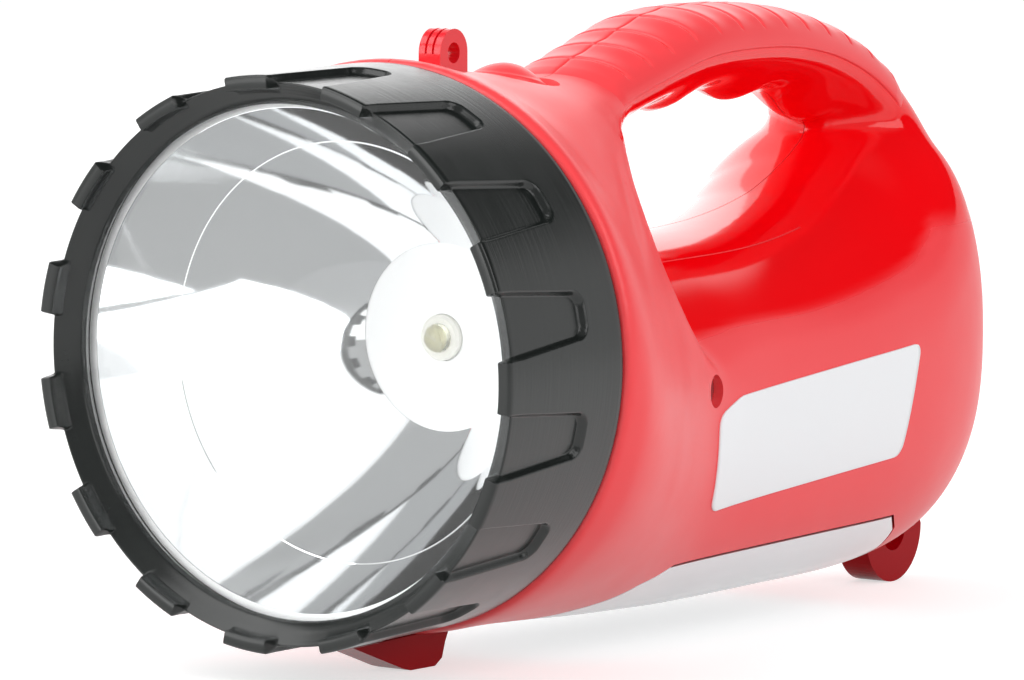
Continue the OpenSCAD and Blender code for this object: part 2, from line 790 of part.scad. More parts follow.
module battery_cradle() {
    plate = battery_width + 4;
    color([0.25, 0.25, 0.27]) placed() {
        translate([-plate / 2, cradle_front, cradle_bottom])
            cube([plate, cradle_back - cradle_front, cradle_thickness]);
        for (y = [cradle_front, cradle_back - cradle_thickness])
            translate([-plate / 2, y, cradle_bottom]) cube([plate, cradle_thickness, cradle_wall_height]);
        for (y = [cradle_front + 6, strip_back - 6])
            translate([0, y, strip_top]) cylinder(r = 2.5, h = cradle_bottom - strip_top + 0.5, $fn = 32);
    }
}

module charge_board() {
    color(board_green) placed() difference() {
        translate([-board_half_width, board_front, board_bottom])
            cube([2 * board_half_width, board_back - board_front, board_thickness]);
        for (x = [-post_half_spread, post_half_spread])
            translate([x, post_station, board_bottom - cut_margin])
                cylinder(r = 1.3, h = board_thickness + 2 * cut_margin, $fn = 32);
    }
}

// The socket's barrel, and the block behind it
module charge_socket() {
    color(black) placed() at_socket() difference() {
        along(socket_nose_radius, socket_back, socket_face);
        along(socket_bore_radius, socket_back - cut_margin, socket_face + cut_margin);
    }
}

module socket_base() {
    color(black) placed()
        translate([-socket_half_width, socket_front, board_top + seat_gap])
            cube([2 * socket_half_width, socket_back - seat_gap - socket_front, socket_height]);
}

// Rubber plug that closes the socket, flush with the back
module socket_plug() {
    color(black) placed() at_socket() {
        along(socket_nose_radius, socket_face + seat_gap, plug_face);
        along(socket_bore_radius - seat_gap, socket_face - plug_depth, plug_face - plug_head / 2);
    }
}

module board_screws() {
    color(steel) placed() for (x = [-post_half_spread, post_half_spread])
        translate([x, post_station, board_top]) {
            cylinder(r = 2.3, h = 1.6, $fn = 32);
            translate([0, 0, -board_thickness]) cylinder(r = 1.2, h = board_thickness + 0.5, $fn = 32);
        }
}

module body_screws_right() {
    color(steel) placed() for (p = [visible_screw, hidden_screw]) body_screw(p);
}

module body_screws_left() {
    color(steel) placed() mirror([1, 0, 0]) body_screw(back_screw);
}

module label_outline() {
    corner = 2;
    offset(r = corner, $fn = 24) offset(delta = -corner)
        polygon([[label_front, -33], [label_front, -15.5], [label_front + 9, -12.7],
                 [label_back, -9.2], [label_back - 6, -30]]);
}

module flank_label() {
    color(white) placed() intersection() {
        difference() {
            hull_solid(-label_thickness, 2, skin_quarter, label_rows[0], label_rows[1]);
            hull_solid(0, 2, skin_quarter, label_rows[0], label_rows[1]);
        }
        across(0, far_out) label_outline();
    }
}

lead_rest = battery_bottom + battery_height + lead_radius + seat_gap;
lead_board_station = board_front + 3;
strip_lead_height = strip_top + lead_radius + seat_gap;
board_lead_height = board_bottom - lead_radius - seat_gap;
switch_foot = [button_seat.y - (switch_top + switch_height) * sin(button_tilt),
               button_seat.z - (switch_top + switch_height) * cos(button_tilt)];

module battery_leads() {
    color([0.75, 0.1, 0.1]) placed() for (x = [-8, 8])
        lead([[x, battery_front + battery_length + 0.8 + seat_gap, terminal_height],
              [x, lead_board_station, terminal_height],
              [x, lead_board_station, board_top + seat_gap]]);
}

module lamp_leads() {
    color([0.85, 0.8, 0.2]) placed()
        lead([[5, sink_end + seat_gap, lead_rest],
              [5, lead_board_station, lead_rest],
              [5, lead_board_station, board_top + seat_gap]]);
}

// The switch's leads drop straight down, or behind the heat sink where that reaches further back
module switch_leads() {
    drop = max(switch_foot.x, sink_end + lead_joint_radius + seat_gap);
    knee = switch_foot.y - 3;
    behind_sink = drop > switch_foot.x ? [[-2.5, switch_foot.x, knee], [-2.5, drop, knee]] : [];
    color([0.2, 0.35, 0.75]) placed()
        lead([[-2.5, switch_foot.x, switch_foot.y - 0.4], each behind_sink, [-2.5, drop, lead_rest],
              [-2.5, lead_board_station, lead_rest],
              [-2.5, lead_board_station, board_top + seat_gap]]);
}

module strip_leads() {
    color([0.8, 0.8, 0.82]) placed()
        lead([[3, strip_back - 3, strip_lead_height],
              [3, cradle_back + 1.8, strip_lead_height],
              [3, cradle_back + 1.8, board_lead_height],
              [3, lead_board_station, board_lead_height]]);
}

body_right();
body_left();
bezel_ring();
neck_ring();
front_lens();
lens_gasket();
reflector();
lamp_plate();
lamp_led_base();
lamp_led_dome();
heat_sink();
plate_screws();
switch_button();
switch_plunger();
switch_body();
front_strap_eye();
front_foot();
rear_strap_foot();
diffuser_panel();
strip_board();
strip_leds();
battery();
battery_terminals();
battery_cradle();
charge_board();
charge_socket();
socket_base();
socket_plug();
board_screws();
body_screws_right();
body_screws_left();
flank_label();
battery_leads();
lamp_leads();
switch_leads();
strip_leads();
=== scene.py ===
"""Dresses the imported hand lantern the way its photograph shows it."""
import json
import logging
import math
from dataclasses import dataclass
from enum import Enum

import bmesh
import bpy
import numpy as np
from mathutils import Matrix, Vector


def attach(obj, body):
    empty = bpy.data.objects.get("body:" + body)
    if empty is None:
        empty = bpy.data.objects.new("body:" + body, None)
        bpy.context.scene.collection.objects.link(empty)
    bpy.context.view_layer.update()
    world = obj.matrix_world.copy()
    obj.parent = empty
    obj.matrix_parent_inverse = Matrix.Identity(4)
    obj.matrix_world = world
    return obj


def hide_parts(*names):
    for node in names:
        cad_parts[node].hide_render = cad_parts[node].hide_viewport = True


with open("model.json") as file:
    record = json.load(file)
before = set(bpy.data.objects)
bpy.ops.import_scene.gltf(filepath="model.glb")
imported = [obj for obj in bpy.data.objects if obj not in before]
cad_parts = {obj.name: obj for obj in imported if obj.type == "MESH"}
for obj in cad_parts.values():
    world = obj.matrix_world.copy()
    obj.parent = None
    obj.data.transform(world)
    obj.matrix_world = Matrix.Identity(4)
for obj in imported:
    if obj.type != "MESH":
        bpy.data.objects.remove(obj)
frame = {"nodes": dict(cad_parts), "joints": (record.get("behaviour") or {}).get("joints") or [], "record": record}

LOG = logging.getLogger("lantern")
MM = 0.001
VALUE = "NodeSocketFloat"
COLOUR = "NodeSocketColor"
Triple = tuple[float, float, float]
Solid = tuple[np.ndarray, list]


class Body(Enum):
    """The bodies that a piece can ride on."""

    HOUSING = "housing"
    BEZEL = "bezel"
    BUTTON = "button"


class Slot(Enum):
    """The record's material slots that new pieces take their finish from."""

    SHELL = "shell_red"
    BEZEL = "bezel_black"
    MIRROR = "mirror"
    GASKET = "gasket_white"
    PANEL = "diffuser_white"
    LABEL = "label_white"


class LampFrame:
    """The lantern's axes in millimetres: origin at the middle of the bezel's front, -Y the way it shines."""

    def __init__(self, hinge: str) -> None:
        """Reads the axes from the joint that the bezel turns on.

        Args:
            hinge: the joint's name.
        """
        joint = next(row for row in frame["joints"] if row["name"] == hinge)
        back = -Vector(joint["axis"]).normalized()
        across = Vector((1, 0, 0))
        self.turn = Matrix((across, back, across.cross(back))).transposed()
        self.origin = Vector(joint["pos_m"])

    def matrix(self) -> Matrix:
        """Returns the matrix from the lamp's millimetres to the model's metres."""
        return Matrix.Translation(self.origin) @ self.turn.to_4x4() @ Matrix.Scale(MM, 4)


LAMP = LampFrame("bezel_turn")


def make_mesh(name: str, points: np.ndarray, faces: np.ndarray | list, placed: bool = True) -> bpy.types.Mesh:
    """Makes a smooth-shaded mesh from points in the lamp's millimetres.

    Args:
        name: the mesh's name.
        points: rows of x, y, z.
        faces: rows of point numbers.
        placed: whether the mesh is carried to the model's metres at once.

    Returns:
        The mesh.
    """
    mesh = bpy.data.meshes.new(name)
    mesh.from_pydata(np.asarray(points, float).tolist(), [], [[int(i) for i in face] for face in faces])
    mesh.update()
    if placed:
        mesh.transform(LAMP.matrix())
    mesh.shade_smooth()
    return mesh


def add_object(name: str, mesh: bpy.types.Mesh) -> bpy.types.Object:
    """Puts a mesh into the scene under a name.

    Args:
        name: the object's name.
        mesh: its mesh.

    Returns:
        The object.
    """
    thing = bpy.data.objects.new(name, mesh)
    bpy.context.scene.collection.objects.link(thing)
    return thing


def add_sharp(name: str, points: np.ndarray, faces: np.ndarray, sharp: float) -> bpy.types.Object:
    """Puts a mesh with some sharp edges into the scene.

    Args:
        name: the object's name.
        points: rows of x, y, z in the lamp's millimetres.
        faces: rows of point numbers.
        sharp: the angle in degrees past which an edge is sharp.

    Returns:
        The object.
    """
    mesh = make_mesh(name, points, faces)
    mesh.set_sharp_from_angle(angle=math.radians(sharp))
    return add_object(name, mesh)


def ring_faces(rings: int, around: int, closed_rings: bool) -> np.ndarray:
    """Joins rings of points into quads.

    Args:
        rings: how many rings there are.
        around: points in each ring, which closes on itself.
        closed_rings: whether the last ring joins the first.

    Returns:
        Rows of four point numbers.
    """
    last = rings if closed_rings else rings - 1
    j, k = np.meshgrid(np.arange(last), np.arange(around), indexing="ij")
    after = (j + 1) % rings
    beside = (k + 1) % around
    corners = [(j, k), (j, beside), (after, beside), (after, k)]
    return np.stack([ring * around + place for ring, place in corners], axis=-1).reshape(-1, 4)


def capped(points: np.ndarray | list, rings: int) -> Solid:
    """Closes equal rings of points into a solid with flat ends.

    Args:
        points: rows of x, y, z, one ring after the other.
        rings: how many rings there are.

    Returns:
        The points and the faces.
    """
    around = len(points) // rings
    faces = ring_faces(rings, around, False).tolist()
    faces.append(list(range(around))[::-1])
    faces.append(list(range(len(points) - around, len(points))))
    return np.array(points), faces


def lathe_points(profile: np.ndarray, around: int) -> np.ndarray:
    """Turns a profile of radius and distance about the lamp axis.

    Args:
        profile: rows of radius and distance.
        around: points in each ring.

    Returns:
        Rows of x, y, z, one ring after the other.
    """
    angle = np.linspace(0, 2 * np.pi, around, endpoint=False)
    radius = profile[:, :1]
    depth = np.repeat(profile[:, 1:], around, axis=1)
    return np.stack([radius * np.cos(angle), depth, radius * np.sin(angle)], axis=-1).reshape(-1, 3)


def hermite(rows: np.ndarray, at: np.ndarray) -> np.ndarray:
    """Smooth values between the rows of a station list, sorted by its first column.

    Args:
        rows: the stations.
        at: values of the first column to look up.

    Returns:
        One row of values for each place.
    """
    first = rows[:, 0]
    count = len(rows)
    low = np.maximum(np.arange(count) - 1, 0)
    high = np.minimum(np.arange(count) + 1, count - 1)
    slope = (rows[high] - rows[low]) / (first[high] - first[low])[:, None]
    i = np.clip(np.searchsorted(first, at, side="right") - 1, 0, count - 2)
    span = (first[i + 1] - first[i])[:, None]
    f = np.clip((at - first[i])[:, None] / span, 0, 1)
    start = (2 * f ** 3 - 3 * f ** 2 + 1) * rows[i] + (f ** 3 - 2 * f ** 2 + f) * span * slope[i]
    end = (3 * f ** 2 - 2 * f ** 3) * rows[i + 1] + (f ** 3 - f ** 2) * span * slope[i + 1]
    return start + end


def rise(value: np.ndarray, start: float, span: float) -> np.ndarray:
    """A straight rise from 0 at the start to 1 a span further on."""
    return np.clip((value - start) / span, 0, 1)


def soft_min(a: np.ndarray, b: np.ndarray, blend: float | np.ndarray) -> np.ndarray:
    """The smaller of two fields, with a fillet where they meet."""
    h = np.clip(0.5 + 0.5 * (b - a) / blend, 0, 1)
    return b + (a - b) * h - blend * h * (1 - h)


def soft_max(a: np.ndarray, b: np.ndarray, blend: float | np.ndarray) -> np.ndarray:
    """The larger of two fields, with a rounded edge where they meet."""
    return -soft_min(-a, -b, blend)


def oval_field(x: np.ndarray, z: np.ndarray, half: np.ndarray, reach: np.ndarray,
               power: np.ndarray | float) -> np.ndarray:
    """Distance from a superellipse, negative inside.

    Args:
        x: distance across from its middle.
        z: distance up or down from its waist.
        half: half width.
        reach: half height on that side of the waist.
        power: fullness, 2 for an ellipse.

    Returns:
        The distance, true close to the outline.
    """
    least_size, least_slope = 1e-3, 0.25
    u = np.abs(x) / half
    v = np.abs(z) / reach
    size = np.maximum((u ** power + v ** power) ** (1 / power), least_size)
    steep = np.hypot((u / size) ** (power - 1) / half, (v / size) ** (power - 1) / reach)
    return (size - 1) / np.maximum(steep, least_slope / np.maximum(half, reach))


def surface_net(field: np.ndarray, low: np.ndarray, step: float) -> tuple[np.ndarray, np.ndarray]:
    """Lays a quad net over the zero surface of a field on a grid.

    Args:
        field: values on the grid, negative inside.
        low: the grid's first corner.
        step: the grid's spacing.

    Returns:
        The points, and rows of four point numbers that turn outwards.
    """
    cells = tuple(n - 1 for n in field.shape)
    corners = list(np.ndindex(2, 2, 2))

    def corner_values(corner: tuple[int, int, int]) -> np.ndarray:
        """Field values at one corner of every cell."""
        return field[tuple(slice(c, c + n) for c, n in zip(corner, cells))]

    inside = sum((corner_values(c) < 0).astype(np.int8) for c in corners)
    active = (inside > 0) & (inside < len(corners))
    number = np.full(cells, -1, np.int64)
    number[active] = np.arange(np.count_nonzero(active))
    place = np.argwhere(active).astype(float)
    total = np.zeros_like(place)
    hits = np.zeros(len(place))
    for a in corners:
        for axis in range(3):
            if a[axis]:
                continue
            b = tuple(1 if n == axis else v for n, v in enumerate(a))
            start = corner_values(a)[active]
            end = corner_values(b)[active]
            crossed = (start < 0) != (end < 0)
            share = np.where(crossed, start / np.where(crossed, start - end, 1), 0)
            spot = np.array(a, float) + np.outer(share, np.array(b, float) - np.array(a, float))
            total += spot * crossed[:, None]
            hits += crossed
    points = low + step * (place + total / hits[:, None])
    quads = []
    for axis in range(3):
        first = tuple(slice(0, -1) if n == axis else slice(1, -1) for n in range(3))
        second = tuple(slice(1, None) if n == axis else slice(1, -1) for n in range(3))
        start = field[first] < 0
        change = start != (field[second] < 0)
        spots = np.argwhere(change)
        outward = start[change]
        others = [n for n in range(3) if n != axis]
        ring = []
        for steps in ((0, 0), (1, 0), (1, 1), (0, 1)):
            shift = np.zeros(3, int)
            shift[others] = steps
            ring.append(number[tuple((spots + shift).T)])
        quad = np.stack(ring, axis=-1)
        flip = outward if axis != 1 else ~outward
        quads.append(np.where(flip[:, None], quad, quad[:, ::-1]))
    return points, np.concatenate(quads)


class Wiring:
    """Adds and joins the nodes of one shader tree."""

    def __init__(self, tree: bpy.types.NodeTree) -> None:
        """Takes the tree that the nodes go into."""
        self.tree = tree

    def node(self, kind: str, **settings: object) -> bpy.types.Node:
        """Adds a node and sets its properties.

        Args:
            kind: the node's type.
            settings: its properties by name.

        Returns:
            The node.
        """
        made = self.tree.nodes.new(kind)
        for key, value in settings.items():
            setattr(made, key, value)
        return made

    def feed(self, socket: bpy.types.NodeSocket, value: object) -> None:
        """Links a socket to another, or sets its value.

        Args:
            socket: the socket to feed.
            value: another socket, or the value.
        """
        if isinstance(value, bpy.types.NodeSocket):
            self.tree.links.new(value, socket)
        elif isinstance(value, tuple) and len(value) == 3 and socket.type == "RGBA":
            socket.default_value = (*value, 1)
        else:
            socket.default_value = value

    def fill(self, made: bpy.types.Node, **inputs: object) -> None:
        """Feeds a node's inputs, named with underscores for spaces."""
        for key, value in inputs.items():
            self.feed(made.inputs[key.replace("_", " ")], value)

    def calculate(self, operation: str, *terms: object) -> bpy.types.NodeSocket:
        """Adds one calculation on values or sockets.

        Args:
            operation: what is calculated.
            terms: values or sockets, in order.

        Returns:
            The socket of the result.
        """
        made = self.node("ShaderNodeMath", operation=operation)
        for socket, term in zip(made.inputs, terms):
            self.feed(socket, term)
        return made.outputs["Value"]

    def mix(self, kind: str, share: object, first: object, second: object) -> bpy.types.NodeSocket:
        """Adds a mix of two values or colours.

        Args:
            kind: FLOAT or RGBA.
            share: the second one's share.
            first: the value or socket at share 0.
            second: the value or socket at share 1.

        Returns:
            The socket of the mix.
        """
        made = self.node("ShaderNodeMix", data_type=kind)
        self.fill(made, Factor=share, A=first, B=second)
        return made.outputs["Result"]


class Effect(Enum):
    """Effects that several finishes share, each a shader node group."""

    GRAIN = "Moulded grain"
    DRIFT = "Colour drift"
    GLOSS = "Gloss drift"
    LINES = "Turned lines"


class EffectShelf:
    """Builds the shared node groups once each."""

    def __init__(self) -> None:
        """Starts with every group built."""
        self.groups = {
            Effect.GRAIN: self.grain(),
            Effect.DRIFT: self.drift(),
            Effect.GLOSS: self.gloss(),
            Effect.LINES: self.lines(),
        }

    @staticmethod
    def start(effect: Effect, inputs: dict[str, str], output: tuple[str, str]) -> tuple:
        """Opens a group with named sockets and a texture position.

        Args:
            effect: which group it is.
            inputs: socket kinds by input name.
            output: the output's name and socket kind.

        Returns:
            The group's wiring, its given sockets, the socket of its result and the texture position.
        """
        group = bpy.data.node_groups.new(effect.value, "ShaderNodeTree")
        for name, kind in inputs.items():
            group.interface.new_socket(name, in_out="INPUT", socket_type=kind)
        group.interface.new_socket(output[0], in_out="OUTPUT", socket_type=output[1])
        wires = Wiring(group)
        given = wires.node("NodeGroupInput").outputs
        result = wires.node("NodeGroupOutput").inputs[output[0]]
        return wires, given, result, wires.node("ShaderNodeTexCoord").outputs["Object"]

    @staticmethod
    def noise(wires: Wiring, detail: float, **inputs: object) -> bpy.types.NodeSocket:
        """Adds a noise texture.

        Args:
            wires: the group's wiring.
            detail: how many finer layers it has.
            inputs: its other inputs by name.

        Returns:
            The socket of its strength.
        """
        made = wires.node("ShaderNodeTexNoise")
        wires.fill(made, Detail=detail, **inputs)
        return made.outputs["Fac"]

    def grain(self) -> bpy.types.NodeTree:
        """Fine moulded texture: two sizes of noise, as a height.

        Returns:
            The group.
        """
        wires, given, result, place = self.start(Effect.GRAIN, {"Scale": VALUE}, ("Height", VALUE))
        fine = self.noise(wires, detail=3, Vector=place, Scale=given["Scale"])
        coarse = wires.node("ShaderNodeTexVoronoi", feature="SMOOTH_F1")
        wires.fill(coarse, Vector=place, Scale=given["Scale"])
        wires.feed(result, wires.calculate("ADD", fine, coarse.outputs["Distance"]))
        return wires.tree

    def drift(self) -> bpy.types.NodeTree:
        """A slow change between two close colours.

        Returns:
            The group.
        """
        inputs = {"Colour": COLOUR, "Other Colour": COLOUR, "Scale": VALUE}
        wires, given, result, place = self.start(Effect.DRIFT, inputs, ("Colour", COLOUR))
        share = self.noise(wires, detail=4, Vector=place, Scale=given["Scale"])
        wires.feed(result, wires.mix("RGBA", share, given["Colour"], given["Other Colour"]))
        return wires.tree

    def gloss(self) -> bpy.types.NodeTree:
        """Handling marks: roughness that wanders about a middle value.

        Returns:
            The group.
        """
        inputs = {"Roughness": VALUE, "Spread": VALUE, "Scale": VALUE}
        wires, given, result, place = self.start(Effect.GLOSS, inputs, ("Roughness", VALUE))
        noise = self.noise(wires, detail=5, Vector=place, Scale=given["Scale"])
        wander = wires.calculate("SUBTRACT", noise, 0.5)
        wires.feed(result, wires.calculate("MULTIPLY_ADD", wander, given["Spread"], given["Roughness"]))
        return wires.tree

    def lines(self) -> bpy.types.NodeTree:
        """Fine lines left by turning, which run round the lamp axis, as a height.

        Returns:
            The group.
        """
        wires, given, result, place = self.start(Effect.LINES, {"Scale": VALUE}, ("Height", VALUE))
        fine_along_axis = (0.012, 1, 0.012)
        stretch = wires.node("ShaderNodeMapping")
        wires.fill(stretch, Vector=place, Scale=fine_along_axis)
        height = self.noise(wires, detail=2, Vector=stretch.outputs["Vector"], Scale=given["Scale"])
        wires.feed(result, height)
        return wires.tree


SHELF = EffectShelf()


class Shader(Wiring):
    """A material built round one Principled BSDF."""

    def __init__(self, name: str) -> None:
        """Makes an empty material.

        Args:
            name: the material's name.
        """
        self.material = bpy.data.materials.new(name)
        self.material.use_nodes = True
        super().__init__(self.material.node_tree)
        self.bsdf = self.tree.nodes["Principled BSDF"]

    def effect(self, effect: Effect, **inputs: object) -> bpy.types.NodeSocket:
        """Places a shared effect with its own values.

        Args:
            effect: which group.
            inputs: values or sockets by input name, with underscores for spaces.

        Returns:
            The socket of its result.
        """
        made = self.node("ShaderNodeGroup", node_tree=SHELF.groups[effect])
        self.fill(made, **inputs)
        return made.outputs[0]

    def drift(self, colour: Triple, other: Triple, scale: float) -> bpy.types.NodeSocket:
        """Returns a colour that drifts between two close ones."""
        return self.effect(Effect.DRIFT, Colour=colour, Other_Colour=other, Scale=scale)

    def gloss(self, roughness: float, spread: float, scale: float) -> bpy.types.NodeSocket:
        """Returns a roughness with handling marks."""
        return self.effect(Effect.GLOSS, Roughness=roughness, Spread=spread, Scale=scale)

    def surface(self, **inputs: object) -> None:
        """Sets or links the shader's own sockets, named with underscores for spaces."""
        self.fill(self.bsdf, **inputs)

    def bump(self, texture: Effect, scale: float, strength: float, relief: float) -> None:
        """Feeds a texture to the shader's normal.

        Args:
            texture: the effect that gives the height.
            scale: how fine it is.
            strength: how much of it is used.
            relief: its height in metres.
        """
        made = self.node("ShaderNodeBump")
        self.fill(made, Strength=strength, Distance=relief, Height=self.effect(texture, Scale=scale))
        self.surface(Normal=made.outputs["Normal"])


@dataclass(frozen=True)
class Finish:
    """A surface with a drifting colour, handling marks and, where it has strength, a fine texture."""

    name: str
    colour: Triple
    other: Triple
    roughness: float
    spread: float = 0.10
    relief: float = 0.00004
    strength: float = 0.25
    texture: Effect = Effect.GRAIN
    texture_scale: float = 1800.0
    drift_scale: float = 35.0
    gloss_scale: float = 120.0

    def plain(self) -> dict[str, float]:
        """Returns the shader's values that are the same all over the surface."""
        return {}

    def make(self) -> bpy.types.Material:
        """Builds the material.

        Returns:
            The material.
        """
        shader = Shader(self.name)
        shader.surface(
            Base_Color=shader.drift(self.colour, self.other, self.drift_scale),
            Roughness=shader.gloss(self.roughness, self.spread, self.gloss_scale), **self.plain())
        if self.strength:
            shader.bump(self.texture, self.texture_scale, self.strength, self.relief)
        return shader.material


@dataclass(frozen=True)
class PlasticFinish(Finish):
    """Moulded plastic, film or rubber with a moulded grain."""

    coat: float = 0.0
    specular: float = 0.5

    def plain(self) -> dict[str, float]:
        """Returns the clear coat and the strength of the gloss."""
        return {"Coat_Weight": self.coat, "Specular_IOR_Level": self.specular}


@dataclass(frozen=True)
class MetalFinish(Finish):
    """Bare or plated metal with fine turned lines."""

    spread: float = 0.15
    relief: float = 0.00002
    strength: float = 0.2
    texture: Effect = Effect.LINES
    texture_scale: float = 9000.0
    drift_scale: float = 220.0
    gloss_scale: float = 300.0

    def plain(self) -> dict[str, float]:
        """Returns the metal's share, which is all of it."""
        return {"Metallic": 1.0}


@dataclass(frozen=True)
class MirrorFinish(MetalFinish):
    """Metallised plastic with the faint ripple of its moulding."""

    spread: float = 0.04
    relief: float = 0.0003
    strength: float = 0.02
    texture: Effect = Effect.GRAIN
    texture_scale: float = 160.0
    drift_scale: float = 45.0
    gloss_scale: float = 160.0


@dataclass(frozen=True)
class GlassFinish(Finish):
    """Clear moulded glass or resin, with faint handling marks and no texture."""

    spread: float = 0.02
    strength: float = 0.0
    drift_scale: float = 60.0
    gloss_scale: float = 90.0
    bending: float = 1.46

    def plain(self) -> dict[str, float]:
        """Returns the clearness and the index of refraction."""
        return {"Transmission_Weight": 1.0, "IOR": self.bending}


@dataclass(frozen=True)
class BezelFinish(Finish):
    """Black moulding with fine lines round the lamp axis."""

    spread: float = 0.16
    relief: float = 0.00006
    strength: float = 0.35
    texture: Effect = Effect.LINES
    texture_scale: float = 2600.0
    drift_scale: float = 70.0
    gloss_scale: float = 140.0
    specular: float = 0.45

    def plain(self) -> dict[str, float]:
        """Returns the strength of the gloss."""
        return {"Specular_IOR_Level": self.specular}


@dataclass(frozen=True)
class ShellFinish:
    """The red moulding: satin outside, polished in the hand opening where the polish attribute says so. The satin
    colours are paler and pinker than the polished ones, partly painted sheen.
    """

    name: str
    satin_with_painted_sheen: Triple
    satin_other_with_painted_sheen: Triple
    polished: Triple
    polished_other: Triple
    satin_roughness: float = 0.36
    satin_spread: float = 0.10
    satin_scale: float = 28.0
    satin_marks: float = 110.0
    polished_roughness: float = 0.07
    polished_spread: float = 0.04
    polished_scale: float = 20.0
    polished_marks: float = 70.0
    grain: float = 2400.0
    strength: float = 0.10
    relief: float = 0.00003
    specular: float = 0.5

    def make(self) -> bpy.types.Material:
        """Builds the material.

        Returns:
            The material.
        """
        shader = Shader(self.name)
        polish = shader.node("ShaderNodeAttribute", attribute_name="polish").outputs["Fac"]
        # The satin colour is the red lifted towards pink: the satin roughness is real, the pink is painted sheen,
        # a white veil painted into the base colour.
        outside = shader.drift(self.satin_with_painted_sheen, self.satin_other_with_painted_sheen, self.satin_scale)
        inside = shader.drift(self.polished, self.polished_other, self.polished_scale)
        rough = shader.gloss(self.satin_roughness, self.satin_spread, self.satin_marks)
        sleek = shader.gloss(self.polished_roughness, self.polished_spread, self.polished_marks)
        shader.surface(
            Base_Color=shader.mix("RGBA", polish, outside, inside),
            Roughness=shader.mix("FLOAT", polish, rough, sleek), Specular_IOR_Level=self.specular)
        shader.bump(Effect.GRAIN, self.grain, self.strength, self.relief)
        return shader.material


FINISHES = {
    # Satin colours paler and pinker than the polished ones: partly painted sheen.
    "shell_red": ShellFinish(
        "shell_red_satin", (0.99, 0.060, 0.070), (0.95, 0.052, 0.062),
        (0.98, 0.001, 0.005), (0.94, 0.001, 0.004)),
    # The feet: the shell's red darkened to a deep red, as painted shade for where they sit in shadow.
    "strap_red_painted_shade": PlasticFinish(
        "strap_red_dark_painted_shade", (0.42, 0.001, 0.006), (0.36, 0.001, 0.005), 0.24,
        spread=0.06, relief=0.00001, specular=0.06),
    "eye_red": PlasticFinish(
        "eye_red_glossy", (0.84, 0.012, 0.024), (0.76, 0.010, 0.020), 0.18, spread=0.06, relief=0.00001),
    "bezel_black": BezelFinish("bezel_black_satin", (0.008, 0.010, 0.009), (0.013, 0.016, 0.015), 0.23),
    "lens_clear": GlassFinish("lens_clear_polished", (0.97, 0.985, 0.985), (0.99, 0.995, 0.995), 0.01),
    "gasket_white": PlasticFinish("gasket_white_rubber", (0.92, 0.92, 0.92), (0.95, 0.95, 0.95), 0.55),
    "mirror": MirrorFinish("mirror_metallised", (0.93, 0.94, 0.95), (0.96, 0.965, 0.97), 0.05),
    "plate_white": PlasticFinish("plate_white_matte", (0.95, 0.95, 0.95), (0.97, 0.97, 0.97), 0.5),
    "led_base": PlasticFinish("led_base_cream", (0.78, 0.77, 0.70), (0.86, 0.85, 0.80), 0.35),
    "led_dome": GlassFinish("led_dome_phosphor", (0.97, 0.95, 0.72), (0.99, 0.98, 0.86), 0.04, bending=1.42),
    "aluminium": MetalFinish("aluminium_bare", (0.62, 0.63, 0.65), (0.74, 0.75, 0.77), 0.38),
    "steel": MetalFinish("steel_plated", (0.52, 0.52, 0.53), (0.68, 0.68, 0.69), 0.28),
    "black_plastic": PlasticFinish("black_plastic_satin", (0.012, 0.012, 0.013), (0.022, 0.022, 0.024), 0.45),
    "diffuser_white": PlasticFinish(
        "diffuser_milky", (0.94, 0.955, 0.985), (0.96, 0.97, 0.99), 0.22,
        spread=0.08, relief=0.00001, coat=0.3),
    "board_green": PlasticFinish("board_green_mask", (0.01, 0.10, 0.035), (0.015, 0.14, 0.05), 0.35),
    "battery_grey": PlasticFinish("battery_grey_matte", (0.035, 0.037, 0.042), (0.055, 0.057, 0.062), 0.6),
    "label_white": PlasticFinish(
        "label_white_film", (0.94, 0.965, 0.99), (0.96, 0.975, 0.995), 0.30, relief=0.00001, coat=0.2),
    "lead_red": PlasticFinish("lead_red_sleeve", (0.50, 0.012, 0.012), (0.58, 0.02, 0.02), 0.45),
    "lead_yellow": PlasticFinish("lead_yellow_sleeve", (0.66, 0.56, 0.03), (0.74, 0.64, 0.05), 0.45),
    "lead_blue": PlasticFinish("lead_blue_sleeve", (0.03, 0.10, 0.50), (0.05, 0.14, 0.58), 0.45),
    "lead_grey": PlasticFinish("lead_grey_sleeve", (0.55, 0.55, 0.58), (0.65, 0.65, 0.68), 0.45),
}


class Workshop:
    """Keeps one material for each finish."""

    def __init__(self) -> None:
        """Makes every material once."""
        self.materials = {name: finish.make() for name, finish in FINISHES.items()}

    def paint(self, node: str, finish: str) -> None:
        """Puts a finish on a CAD node.

        Args:
            node: the node's name.
            finish: the finish's name.
        """
        for place in frame["nodes"][node].material_slots:
            place.material = self.materials[finish]
        LOG.info("%s: %s", node, finish)

    def dress_nodes(self) -> None:
        """Puts the record's finishes on the CAD nodes."""
        for row in frame["record"]["subparts"]:
            self.paint(row["node"], row["material_slot"])


